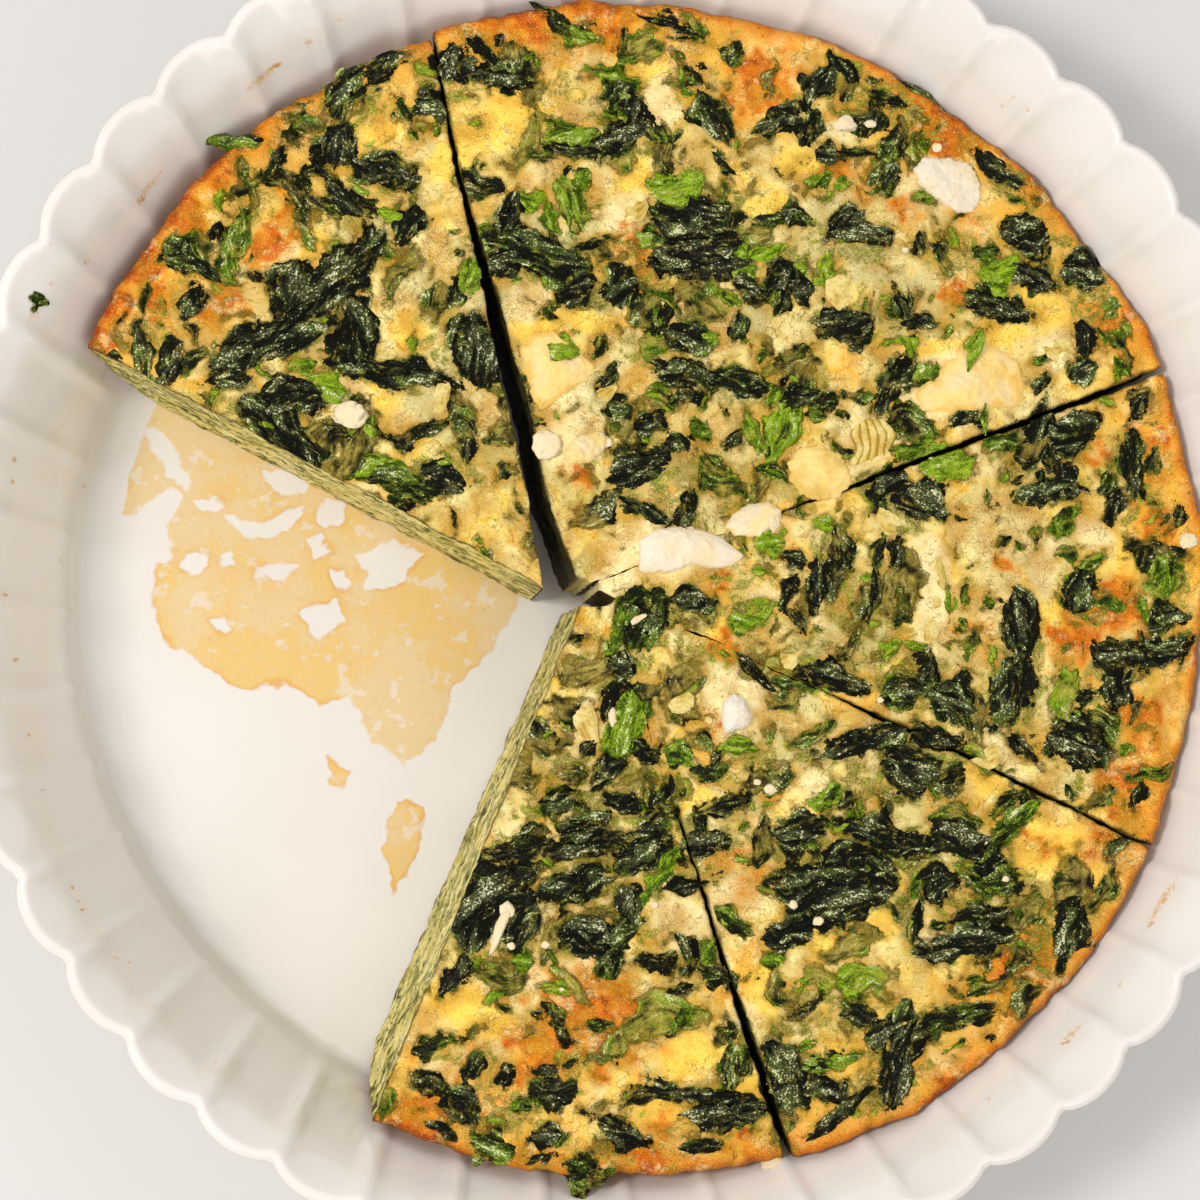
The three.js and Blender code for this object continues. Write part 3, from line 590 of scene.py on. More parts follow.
# Leaves that lie deeper, so that the custard over them is clear and dull. The same values.
DEEP_LEAVES = [
    (290, 330, 170, 50, 40, 0.08, 0.35), (270, 415, 120, 60, -20, 0.1, 0.4),
    (380, 370, 130, 50, -5, 0.1, 0.4), (430, 470, 120, 40, -5, 0.15, 0.45), (200, 290, 60, 50, 0, 0.2, 0.55),
    (350, 105, 80, 50, 30, 0.15, 0.45), (340, 185, 90, 50, -70, 0.12, 0.45),
    (395, 170, 80, 60, -20, 0.15, 0.5), (250, 200, 70, 40, 60, 0.25, 0.55), (160, 330, 60, 40, 90, 0.2, 0.5),
    (440, 330, 60, 60, 70, 0.2, 0.6), (460, 100, 60, 80, 80, 0.1, 0.4), (530, 70, 110, 40, -10, 0.15, 0.5),
    (620, 125, 120, 60, 20, 0.1, 0.4), (530, 245, 120, 60, -10, 0.12, 0.4), (600, 285, 110, 40, 0, 0.1, 0.4),
    (690, 300, 90, 60, -20, 0.2, 0.55), (720, 240, 180, 90, -5, 0.1, 0.4), (830, 110, 100, 60, 60, 0.1, 0.4),
    (900, 110, 90, 50, -25, 0.2, 0.5), (850, 235, 90, 60, 10, 0.12, 0.45),
    (860, 310, 100, 50, 10, 0.08, 0.45), (1030, 265, 100, 60, 20, 0.08, 0.4),
    (960, 260, 80, 50, -30, 0.2, 0.55), (1010, 185, 60, 40, -40, 0.12, 0.4),
    (1080, 290, 70, 60, 0, 0.12, 0.45), (700, 370, 140, 50, -10, 0.12, 0.45),
    (680, 490, 130, 70, -20, 0.12, 0.5), (640, 440, 70, 60, 0, 0.12, 0.45), (790, 400, 90, 50, 0, 0.2, 0.55),
    (1000, 310, 80, 40, -10, 0.1, 0.45), (580, 210, 70, 40, 80, 0.2, 0.6), (900, 500, 80, 60, -20, 0.08, 0.4),
    (1050, 460, 110, 70, 10, 0.12, 0.45), (1130, 480, 90, 60, 80, 0.1, 0.4),
    (850, 580, 110, 80, 85, 0.18, 0.5), (1020, 680, 110, 60, 85, 0.1, 0.4),
    (930, 690, 110, 60, -20, 0.12, 0.45), (1090, 720, 120, 70, 80, 0.12, 0.45),
    (1160, 590, 90, 60, 80, 0.3, 0.55), (1080, 590, 70, 60, 60, 0.12, 0.5),
    (1150, 650, 90, 40, 10, 0.1, 0.45), (820, 670, 100, 50, -12, 0.12, 0.5), (900, 640, 80, 60, 0, 0.2, 0.6),
    (900, 770, 130, 70, 20, 0.12, 0.4), (870, 860, 200, 110, 5, 0.08, 0.35),
    (950, 860, 180, 80, -5, 0.06, 0.35), (980, 930, 130, 60, 10, 0.1, 0.45),
    (850, 910, 130, 60, 10, 0.1, 0.4), (1060, 930, 90, 60, 60, 0.15, 0.45),
    (900, 1060, 110, 60, 60, 0.05, 0.4), (840, 1000, 90, 60, 0, 0.4, 0.55),
    (805, 1060, 90, 60, -60, 0.1, 0.4), (720, 620, 140, 90, 40, 0.2, 0.55), (650, 620, 90, 60, 60, 0.15, 0.4),
    (770, 760, 120, 50, 10, 0.2, 0.5), (600, 800, 160, 90, 20, 0.1, 0.35), (560, 860, 180, 70, 10, 0.08, 0.3),
    (640, 860, 130, 70, 10, 0.08, 0.35), (490, 920, 110, 80, 45, 0.06, 0.3),
    (600, 930, 120, 60, -5, 0.12, 0.45), (700, 850, 90, 60, 20, 0.1, 0.4), (680, 960, 90, 60, 0, 0.2, 0.55),
    (700, 1110, 140, 50, 5, 0.1, 0.4), (490, 1090, 120, 60, -30, 0.2, 0.5), (600, 1150, 100, 40, 0, 0.2, 0.5),
    (560, 1080, 60, 60, 0, 0.2, 0.55), (600, 680, 60, 80, 0, 0.12, 0.4),
]


random = np.random.default_rng(46)


def small_leaf(x, y, length):
    """A chopped bit of leaf: middle, half length, half width, turn, tone, film of custard over it, lift."""
    width = length * random.uniform(0.25, 0.65)
    tone = random.uniform(0.5, 0.95) if random.uniform() < 0.36 else max(0.0, random.normal(0.22, 0.16))
    film = random.uniform(0, 1)
    return x, y, length, width, random.uniform(0, math.pi), tone, film, random.uniform(-0.1, 0.5)


def placed_leaf(across, down, length, width, turn, tone, film):
    """The same values in millimetres, with a random lift."""
    half = 0.5 / PIXELS_PER_MM
    tone = min(tone, 0.45 + 0.5 * tone)
    film = film + random.uniform(0, 0.15)
    return (*spot(across, down, SIGHTED), 1.1 * length * half, width * half, math.radians(turn), tone, film,
            random.uniform(0.1, 0.6))


def in_the_clear(x, y):
    """Whether a place lies in one of the yellow or cream coloured spots, which have few bits of leaf."""
    for shown, blotches in BLOTCHES.items():
        for across, down, length, width, turn in blotches:
            px, py = spot(across, down, SIGHTED)
            turn = math.radians(turn)
            along = ((x - px) * math.cos(turn) + (y - py) * math.sin(turn)) / length
            aside = ((y - py) * math.cos(turn) - (x - px) * math.sin(turn)) / width
            if shown[0] > 220 and math.hypot(along, aside) < 0.5 / PIXELS_PER_MM:
                return True
    return False


placed = [placed_leaf(*values) for values in LEAVES]
deep = [placed_leaf(*values) for values in DEEP_LEAVES]
chopped = []
for number in range(1500):
    bearing = random.uniform(-math.pi, math.pi)
    distance = 116.5 * math.sqrt(random.uniform())
    x, y = distance * math.cos(bearing), distance * math.sin(bearing)
    if number < 230:
        leaf = small_leaf(x, y, random.uniform(2.4, 6.5))
        chopped.append((*leaf[:5], 0.7 * leaf[5], random.uniform(0.3, 0.8), 0.0))
    else:
        chopped.append(small_leaf(x, y, 0.4 + random.gamma(1.6, 0.5)))
veiled = [leaf for leaf in chopped[:230] if not in_the_clear(*leaf[:2])]
chopped = [leaf for leaf in chopped[230:] if leaf[2] < 0.7 or not in_the_clear(*leaf[:2])]
sunk = veiled + chopped + placed


def torn(x, y, cell, seed):
    """Noise with sharp ridges, which tears an outline into points."""
    return 0.45 - 1.5 * np.abs(ripple(x, y, cell, seed))


def outline_of(leaf, number, bent_x, bent_y, tear):
    """The places near a leaf: how deep inside its torn outline they are, and where along and beside it."""
    px, py, half_length, half_width, turn = leaf[:5]
    near = np.flatnonzero((np.abs(bent_x - px) < half_length + 3) & (np.abs(bent_y - py) < half_length + 3))
    dx, dy = bent_x[near] - px, bent_y[near] - py
    along = dx * math.cos(turn) + dy * math.sin(turn)
    aside = (dy * math.cos(turn) - dx * math.sin(turn)
             + 0.3 * half_width * np.sin(2.2 * along / half_length + number))
    reach = np.abs(along / half_length) ** 1.7 + np.abs(aside / half_width) ** 1.7
    return (near, (1.08 - reach ** (1 / 1.7)) * half_width + tear[near] * min(1, half_width / 2.2), along,
            aside)


def sunk_leaves(x, y):
    """The leaves in the skin: the top one's own values at each place, and the depth inside any outline."""
    bent_x = x + 1.6 * ripple(x, y, 8, 71) + 0.7 * ripple(x, y, 3.2, 72)
    bent_y = y + 1.6 * ripple(x, y, 8, 74) + 0.7 * ripple(x, y, 3.2, 75)
    tear = 0.9 * torn(x, y, 5, 77) + 0.5 * torn(x, y, 2.4, 78) + 0.2 * torn(x, y, 1.3, 79)
    top = {name: np.zeros(x.shape) for name in ("tone", "film", "relief", "crest", "cast")}
    top["depth"] = np.full(x.shape, -6.0)
    top["union"] = np.full(x.shape, -6.0)
    top["flow"] = np.zeros((len(x), 4))
    for number, leaf in enumerate(deep):
        near, inside, along, aside = outline_of(leaf, number, bent_x, bent_y, 1.6 * tear)
        top["cast"][near] = np.maximum(top["cast"][near], soft(inside, -1.0, 1.2) * (1.2 - leaf[6]))
        chosen = near[inside > 0]
        along, aside = along[inside > 0], aside[inside > 0]
        top["flow"][chosen] = np.stack([0.35 * along + 5.3 * number, aside, 0 * along, 0 * along], 1)
    for number, leaf in enumerate(sunk):
        near, inside, along, aside = outline_of(leaf, number, bent_x, bent_y,
                                                tear * (1 if leaf[2] < 6 else 0.7))
        half_width, (tone, film, lift) = leaf[3], leaf[5:]
        top["union"][near] = np.maximum(top["union"][near], inside)
        over = (inside > 0) | (inside > top["depth"][near])
        chosen = near[over]
        inside, along, aside = inside[over], along[over], aside[over]
        top["depth"][chosen] = inside
        top["tone"][chosen] = tone
        top["film"][chosen] = film
        folds = (1.9 * np.abs(ripple(0.3 * along + 5 * number, aside, 3.2, 5)) - 0.6) * min(1, half_width / 2)
        top["relief"][chosen] = soft(inside, -0.3, 1.1) * (min(1, 1.4 - tone - film) * lift + 0.6 * folds)
        top["crest"][chosen] = folds
        top["flow"][chosen] = np.stack([0.35 * along + 7.7 * number, aside, 0 * along, 0 * along], 1)
    return top


def patches(x, y, spots):
    """How strongly each place lies in these round spots."""
    amount = np.zeros(x.shape)
    for across, down, size, strength in spots:
        px, py = spot(across, down, SIGHTED)
        reach = 1.1 * size / PIXELS_PER_MM
        amount = np.maximum(amount, strength * np.exp(-((x - px) ** 2 + (y - py) ** 2) / reach**2))
    return amount


def cells(x, y, size, seed):
    """A patchwork of cells: each place's cell, as a number between 0 and 1, and how far off its seam is."""
    u, v = x / size + 31.7 * seed, y / size - 12.3 * seed
    nearest, second, number = np.full(x.shape, 9.0), np.full(x.shape, 9.0), np.zeros(x.shape)
    for across in (-1, 0, 1):
        for down in (-1, 0, 1):
            i, j = np.floor(u) + across, np.floor(v) + down
            one, two, three = (np.sin(i * a + j * b + seed) * 43758.5453 % 1 for a, b in
                               ((127.1, 311.7), (269.5, 183.3), (419.2, 371.9)))
            distance = np.hypot(i + 0.1 + 0.8 * one - u, j + 0.1 + 0.8 * two - v)
            closer = distance < nearest
            second = np.where(closer, nearest, np.minimum(second, distance))
            number = np.where(closer, three, number)
            nearest = np.where(closer, distance, nearest)
    return number, (second - nearest) * size / 2


def laid_over(under, over, amount):
    """The colours under, with the colour over laid on them by this amount."""
    amount = np.clip(amount, 0, 1)[:, None]
    return under * (1 - amount) + np.array(tint(*over)) * amount


def custard_colours(x, y, rise, union, cast, inset, edge):
    """The colour of the custard, cheese and onion at each place of the skin, with painted shade in its seams
    and low places, and how grainy it is.
    """
    bent_x = x + 1.5 * ripple(x, y, 6, 81) + 0.7 * ripple(x, y, 2.6, 82)
    bent_y = y + 1.5 * ripple(x, y, 6, 83) + 0.7 * ripple(x, y, 2.6, 84)
    outer = soft(-inset, -40, -8)
    colour = np.tile(np.array(tint(238, 200, 86)), (len(x), 1))
    colour = laid_over(colour, (240, 224, 150), 0.5 + 0.7 * ripple(x, y, 7, 86) + 0.3 * ripple(x, y, 2.6, 87))
    colour = laid_over(colour, (232, 166, 40),
                       0.75 * soft(ripple(x, y, 8, 88) + 0.4 * ripple(x, y, 3, 89), 0.15, 0.55))
    grainy = 0.35 * soft(ripple(x, y, 9, 94), 0.1, 0.5)
    for size, seed, strength in ((10, 3, 1.0), (5.5, 4, 0.5)):
        kind, seam = cells(bent_x, bent_y, size, seed)
        kind = kind + 0.1 * outer
        inside = strength * soft(seam, 0.05, 1.1)

        def share(low, high):
            return inside * ((kind > low) & (kind <= high))

        colour = laid_over(colour, (234, 218, 156), 0.7 * share(-9, 0.2))
        colour = laid_over(colour, (208, 196, 132), 0.8 * share(0.2, 0.4) * (1 - 0.7 * outer))
        colour = laid_over(colour, (170, 156, 92), 0.75 * share(0.4, 0.56) * (1 - 0.6 * outer))
        colour = laid_over(colour, (208, 176, 108), 0.6 * share(0.86, 1.1))
        # Painted shade: a darker olive line along the seams between the patches, as in creases.
        crease_shade = soft(0.55 - seam, 0, 0.5) * soft(ripple(x, y, 5, 98 + seed), -0.3, 0.3)
        colour = laid_over(colour, (150, 110, 18), 0.6 * strength * crease_shade)
    golden = outer * soft(ripple(x, y, 12, 99) + 0.3 * ripple(x, y, 4, 90), -0.35, 0.35)
    colour = laid_over(colour, (242, 190, 60), 0.55 * golden)
    plain = np.zeros(x.shape)
    for shown, blotches in BLOTCHES.items():
        for across, down, length, width, turn in blotches:
            px, py = spot(across, down, SIGHTED)
            near = np.flatnonzero((np.abs(x - px) < 18) & (np.abs(y - py) < 18))
            dx, dy = bent_x[near] - px, bent_y[near] - py
            turn = math.radians(turn)
            along = (dx * math.cos(turn) + dy * math.sin(turn)) / length
            aside = (dy * math.cos(turn) - dx * math.sin(turn)) / width
            inside = 1 - 2 * PIXELS_PER_MM * np.hypot(along, aside)
            colour[near] = laid_over(colour[near], shown, 0.88 * soft(inside, -0.25, 0.3))
            if shown[0] > 220:
                plain[near] = np.maximum(plain[near], soft(inside, -0.1, 0.2))
            if shown[2] == 126:
                grainy[near] = np.maximum(grainy[near], soft(inside, -0.2, 0.3))
    dull = 0.55 * soft(union, -1.8, -0.1) * soft(ripple(x, y, 9, 85), -0.3, 0.5)
    clear = (cast * (1 - 0.8 * plain)
             * soft(ripple(bent_x, bent_y, 4, 95) + 0.7 * ripple(x, y, 1.8, 96) + 0.3, -0.4, 0.5))
    colour = laid_over(colour, (162, 140, 62), dull * (1 - 0.7 * plain))
    colour = laid_over(colour, (172, 154, 86), 0.65 * clear)
    near_crust = np.exp(-((np.maximum(inset, 0) / 11) ** 2)) * (0.75 + 0.7 * ripple(x, y, 10, 39))
    colour = laid_over(colour, (238, 166, 52), 0.7 * near_crust)
    colour = laid_over(colour, (214, 126, 26), 1.2 * edge)
    toast = soft(patches(bent_x, bent_y, BROWNED) + 0.35 * ripple(x, y, 5, 91)
                 + 0.2 * ripple(x, y, 2.2, 92), 0.2, 0.85)
    colour = laid_over(colour, (224, 132, 14), 0.9 * toast)
    colour = laid_over(colour, (196, 92, 4), 0.9 * soft(toast + 0.4 * ripple(x, y, 3, 93), 0.6, 1.1))
    colour = laid_over(colour, (132, 56, 8), 0.75 * soft(toast + 0.5 * ripple(x, y, 2, 94), 1.0, 1.35))
    colour = laid_over(colour, (158, 62, 6),
                       np.exp(-((inset / 1.4) ** 2)) * (0.35 + 1.2 * toast + 0.3 * ripple(x, y, 9, 37)))
    # Painted shade: the custard darker and more olive where the skin dips low.
    colour = laid_over(colour, (176, 122, 18), 0.65 * soft(-rise, -0.3, 0.55))
    near_leaf = soft(union, -1.3, -0.1) * soft(ripple(x, y, 3, 100) + 0.5 * ripple(x, y, 7, 107), -0.5, 0.4)
    colour = laid_over(colour, (136, 106, 10), 0.52 * near_leaf)
    return colour, grainy, clear


def crust_line(turn):
    """The browned outline, which is a little uneven and touches the dish's wall in places."""
    waves = 0.35 * np.sin(5 * turn + 0.7) + 0.3 * np.sin(11 * turn + 2) + 0.25 * np.sin(17 * turn)
    return np.minimum(CRUST + 0.6 * np.cos(4 * (turn - math.radians(42))) + waves, 119.3)


def stand(stations, share):
    """How far a cut stands off its line. The stations are spread evenly from the tip to the crust."""
    return np.interp(share, np.linspace(0, 1, len(stations)), stations)


def wedge(name, fineness, tip, first, last, start, drawn, stand_first, stand_last, splay, open_cut):
    """A wedge with a fine top. Its grid runs out from the tip and round from the first cut to the last."""
    rows = round((CRUST - start) / fineness)
    columns = round(math.radians(last - first) * CRUST / fineness)
    bm = bmesh.new()
    bmesh.ops.create_grid(bm, x_segments=rows, y_segments=columns, size=0.5)
    bmesh.ops.translate(bm, verts=bm.verts[:], vec=(0.5, 0.5, 1))
    for _ in range(WALL_LEVELS):
        edges = [edge for edge in bm.edges if edge.is_boundary]
        grown = bmesh.ops.extrude_edge_only(bm, edges=edges)["geom"]
        lower = [item for item in grown if isinstance(item, bmesh.types.BMVert)]
        bmesh.ops.translate(bm, verts=lower, vec=(0, 0, -1 / WALL_LEVELS))
    bmesh.ops.edgeloop_fill(bm, edges=[edge for edge in bm.edges if edge.is_boundary])
    bmesh.ops.recalc_face_normals(bm, faces=bm.faces[:])
    piece = mesh_of(name + "_baked", bm)
    out, round_, up = places(piece).T
    middle = np.radians(first + (last - first) * round_)

    def reach(radius):
        towards = tip[0] * np.cos(middle) + tip[1] * np.sin(middle)
        return -towards + np.sqrt(towards**2 + radius**2 - tip[0] ** 2 - tip[1] ** 2)

    far = reach(CRUST)
    compass = np.arctan2(tip[1] + far * np.sin(middle), tip[0] + far * np.cos(middle))
    outline = crust_line(compass) - drawn
    outline = (outline + 0.5 * ripple(compass * 117, 40 * up, 6, 11)
               + 0.3 * ripple(compass * 117, 40 * up, 2.5, 12))
    side = np.where(up < 0.34, 103.2 + 7.4 * up / 0.34, 110.6 + (outline - 110.6) * (up - 0.34) / 0.66)
    distance = start + (reach(side) - start) * out
    share = distance / CRUST
    waver = 0.3 * ripple(distance, 30 * up, 5, 13) + 0.25 * ripple(distance, 30 * up, 1.8, 14)
    stand_first, stand_last = stand(stand_first, share), stand(stand_last, share)
    from_angle = (math.radians(first)
                  + np.arcsin((stand_first - (1 - up) * stand(splay, share) + waver) / distance))
    to_angle = math.radians(last) - np.arcsin((stand_last - waver) / distance)
    angle = from_angle + (to_angle - from_angle) * round_
    x = tip[0] + distance * np.cos(angle)
    y = tip[1] + distance * np.sin(angle)
    inset = outline - np.hypot(x, y)
    leaf = sunk_leaves(x, y)
    union = leaf["union"]
    rise = puffs(x, y) * (1 - 0.6 * soft(union, -0.5, 1)) + 0.7 * leaf["relief"]
    rise -= 0.2 * np.exp(-((leaf["depth"] + 0.1) / 0.35) ** 2)
    rise += 0.04 * ripple(x, y, 1.3, 4)
    rise += 0.8 * np.exp(-(((inset - 1.5) / 1.3) ** 2)) * (0.7 + 0.5 * ripple(compass * 117, 0 * x, 14, 15))
    shut = soft(np.where(round_ < 0.5, stand_first, stand_last), SHUT, SHUT + 0.15)
    shut = shut + (1 - shut) * (np.where(round_ < 0.5, stand_first, stand_last) < 0)
    to_cut = np.minimum(round_, 1 - round_) * distance * math.radians(last - first)
    skin = (TOP + swell(x, y) + rise - 1.5 * np.exp(-np.maximum(inset, 0) / 0.7)
            - 0.5 * shut * np.exp(-to_cut / 0.5))
    move(piece, x, y, BASE + (skin - BASE) * up)
    top = soft(up, 1 - 1.2 / WALL_LEVELS, 1.0)
    band = 3.0 + 2.2 * ripple(x, y, 13, 31) + 0.8 * ripple(x, y, 4, 34)
    edge = np.exp(-((np.maximum(inset, 0) / np.maximum(band, 0.8)) ** 2)) * (0.9 + 0.35 * ripple(x, y, 6, 38))
    colour, grainy, clear = custard_colours(x, y, rise, union, leaf["cast"], inset, edge)
    # Painted shadow: the top darkened to near black along the cuts that close up, where the gap is in shade.
    colour = laid_over(colour, (34, 28, 8), 0.8 * shut * np.exp(-to_cut / 0.2))
    # The sunk leaves' tone is raised on their crests and lowered in their folds: painted light and shade.
    tone = (leaf["tone"] + 0.2 * ripple(x, y, 3.4, 33) + 0.25 * np.exp(-leaf["depth"] / 0.5)
            + 0.3 * leaf["crest"])
    keep(piece, "custard", colour)
    keep(piece, "grainy", grainy)
    keep(piece, "leaf", np.clip(union - 0.9 * edge, -3, 3) * top - 3 * (1 - top))
    keep(piece, "crest", leaf["crest"])
    keep(piece, "cast", clear * top)
    keep(piece, "tone", np.clip(tone, 0, 1))
    keep(piece, "film", leaf["film"] + 0.35 * ripple(x, y, 4, 35) + 0.25 * ripple(x, y, 1.8, 36))
    keep(piece, "flow", leaf["flow"])
    on_cut = np.abs(round_ - 0.5) > 0.4999
    keep(piece, "side", (1 - top) * on_cut)
    # Marks the cut faces that look into a narrow gap for painted shade; the cut that faces the open place
    # stays unmarked.
    keep(piece, "narrow", on_cut * (1.0 if open_cut is None else np.abs(round_ - open_cut)))
    return piece


def stored(shade, name, output=2):
    return shade.node("ShaderNodeAttribute", output=output, attribute_name=name)


GREENS = [(0.0, (4, 5, 2)), (0.24, (14, 20, 4)), (0.42, (42, 56, 8)), (0.68, (88, 116, 12)),
          (1.0, (138, 168, 30))]


def green_of(tone):
    return tone.node("ShaderNodeValToRGB", {"Fac": tone},
                     stops=[(at, tint(*colour)[:3]) for at, colour in GREENS])


def streaks(shade, width, detail=2.0):
    """Noise that is drawn out along a leaf, with streaks of about that width in millimetres."""
    flow = stored(shade, "flow", 0)
    return shade.node("ShaderNodeTexNoise", {"Vector": flow, "Scale": 1 / width, "Detail": detail})


def leaf_green(shade, fine, finest, film):
    """A wilted leaf's colour: painted shade in the creases, a painted wet sheen and glints on the ridges, and
    the film that dried on it.
    """
    wide = streaks(shade, 2.4, 2)
    thin = streaks(shade, 0.9, 3)
    hair = streaks(shade, 0.35, 2)
    lively = 0.5 * wide.rise(0.34, 0.66) + 0.5 * thin.rise(0.36, 0.64) + 0.35 * finest.rise(0.36, 0.64) - 0.62
    tone = stored(shade, "tone")
    green = green_of((tone + lively * (0.5 + 0.25 * tone)).held())
    # Painted shade: thin near-black lines along the leaf's creases.
    crease_shade = (thin - 0.5).size().rise(0.03, 0.004)
    green = (crease_shade * 0.6).blend(green, tint(7, 9, 2))
    # Painted sheen: a grey-green shine laid on the ridges of the folds.
    ridge = stored(shade, "crest") + 2.6 * (wide - 0.5) + 2.2 * (thin - 0.5)
    sheen = ridge.rise(-0.1, 0.8) * (0.3 + 0.7 * (0.3 * hair + 0.7 * finest).rise(0.4, 0.6))
    green = (sheen * (0.54 - 0.38 * tone)).blend(green, tint(120, 124, 74))
    veil = (0.5 * thin + 0.25 * wide + 0.25 * finest + 0.14 * film).rise(0.54, 0.7)
    green = (veil * 0.5).blend(green, tint(150, 130, 36))
    # Painted highlights: small pale glints, mostly on the ridges.
    glint = (0.35 * hair + 0.45 * finest + 0.2 * thin + 0.07 * ridge).rise(0.59, 0.66)
    green = (glint * 0.8).blend(green, tint(220, 220, 184))
    return green, 0.5 * wide + 0.4 * thin + 0.2 * finest


def custard_look(shade):
    small = grain(shade, 4.5, 3)
    fine = grain(shade, 1.2, 3)
    finest = grain(shade, 0.4, 2)
    grit = grain(shade, 0.28, 1)
    grainy = stored(shade, "grainy")
    film = stored(shade, "film") + 0.4 * (small - 0.5)
    bury = film.rise(0.4, 1.0)
    edge = stored(shade, "leaf") - 0.1 + 1.8 * (fine - 0.5) + (0.8 + 0.8 * bury) * (finest - 0.5)
    leaf = edge.rise(-0.08 - 0.6 * bury, 0.1 + 1.2 * bury)
    pale = 0.4 * (small + 0.5 * (fine - 0.5)).rise(0.55, 0.75)
    custard = pale.blend(stored(shade, "custard", 0), tint(248, 232, 168))
    custard = (0.3 * (small + 0.5 * (fine - 0.5)).rise(0.46, 0.3)).blend(custard, tint(206, 150, 46))
    # Painted shade: fine cracks in places, darkened as the shade inside them.
    cracks = (grain(shade, 2.6, 4) - 0.5).size().rise(0.024, 0.004) * small.rise(0.42, 0.6)
    custard = (cracks * 0.5).blend(custard, tint(140, 106, 32))
    thin, wide = streaks(shade, 0.9, 3), streaks(shade, 2.2, 2)
    under = stored(shade, "cast") + 2.0 * (thin - 0.5) + 1.6 * (wide - 0.5) + 1.6 * (finest - 0.5)
    sunk = green_of((0.4 + 2.2 * (thin - 0.5) + 1.6 * (wide - 0.5) + 1.6 * (finest - 0.5)).held())
    sunk = (0.32 + 1.2 * (fine + finest - 1)).held().blend(sunk, tint(166, 144, 50))
    custard = (under.rise(0.34, 0.72) * 0.88).blend(custard, sunk)
    specks = (0.4 * finest + 0.35 * grit + 0.25 * fine + 0.03 * grainy).rise(0.555, 0.64)
    custard = (specks * (0.15 + 0.5 * grainy)).blend(custard, tint(122, 104, 54))
    grained = (0.3 + 0.7 * grainy + 0.6 * (small + 0.5 * (fine - 0.5)).rise(0.45, 0.6)).held()
    custard = (2.1 * (0.35 * finest + 0.65 * grit) - 0.53).held().speckle(custard, grained * 0.6)
    # Painted highlights: pale flecks as wet glints on the custard.
    custard = ((0.35 * finest + 0.65 * grit).rise(0.56, 0.68) * 0.3).blend(custard, tint(255, 242, 180))
    herbs = (0.5 * grain(shade, 0.9, 2) + 0.3 * fine + 0.2 * finest).rise(0.585, 0.61)
    custard = (herbs * 0.4).blend(custard, green_of(small.rise(0.2, 0.9)))
    # Painted shade: a dark line along parts of the leaves' borders, where the skin creases round them.
    rim = ((stored(shade, "leaf") + 1.2 * (fine - 0.5) + 0.12).size().rise(0.3, 0.0)
           * (small + 0.4 * thin - 0.2).rise(0.44, 0.56))
    custard = (rim * 0.6).blend(custard, tint(44, 42, 12))
    green, wrinkles = leaf_green(shade, fine, finest, film)
    dried = (0.5 + 2.2 * (0.5 * fine + 0.5 * grit - 0.5) + 1.2 * (thin - 0.5)).held()
    green = (bury * dried).blend(green, tint(180, 160, 76))
    olive = (leaf.rise(0.0, 0.5) * 0.85).blend(custard, tint(114, 94, 10))
    colour = leaf.rise(0.3, 0.95).blend(olive, green)
    place = shade.node("ShaderNodeTexCoord", output=3)
    place = shade.node("ShaderNodeMapping", {"Vector": place, "Scale": (1, 1, 3.0)})
    layers = shade.node("ShaderNodeTexNoise", {"Vector": place, "Scale": 130, "Detail": 4.0})
    elsewhere = shade.node("ShaderNodeMapping", {"Vector": place, "Location": (0.4, 0.1, 0.3)})
    folds = shade.node("ShaderNodeTexNoise", {"Vector": elsewhere, "Scale": 170, "Detail": 2.0})
    sheets = ((folds + 0.1 * (fine - 0.5) - 0.5).size().rise(0.06, 0.02)
              * (layers + 0.4 * (fine - 0.5)).rise(0.44, 0.54))
    cut = small.rise(0.3, 0.7).blend(tint(214, 194, 108), tint(236, 224, 156))
    cut = ((layers + 0.3 * (fine - 0.5)).rise(0.4, 0.6) * 0.6).blend(cut, tint(166, 160, 70))
    cut = ((0.5 * folds + 0.5 * fine).rise(0.53, 0.6) * 0.7).blend(cut, green_of(fine.rise(0.2, 0.9)))
    cut = (sheets * 0.9).blend(cut, green_of(fine.rise(0.25, 1.0)))
    cut = (specks * 0.4).blend(cut, tint(120, 104, 40))
    # Painted shade: the cut faces that look into a narrow gap are painted near black.
    cut = (stored(shade, "narrow") * 0.93).blend(cut, tint(20, 16, 5))
    colour = stored(shade, "side").rise(0.35, 0.7).blend(colour, cut)
    rough = 0.4 - 0.2 * leaf + 0.14 * fine + 0.12 * bury
    relief = (0.16 * small + 0.14 * fine + (0.08 + 0.14 * grainy) * finest + 0.03 * grit - 0.06 * cracks
              + leaf * 0.6 * wrinkles)
    return {"Base Color": colour, "Roughness": rough, "Normal": relief.bump(0.0012)}


custard = finish_of("baked_custard", custard_look, Specular_IOR_Level=0.09, Specular_Tint=(1, 0.95, 0.75, 1),
                    Subsurface_Weight=0.06, Subsurface_Radius=(1.0, 0.5, 0.2), Subsurface_Scale=0.001)
for values in WEDGES:
    piece = wedge(*values)
    piece.data.materials.append(custard)
    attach(piece, "root")
    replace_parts(piece, values[0])


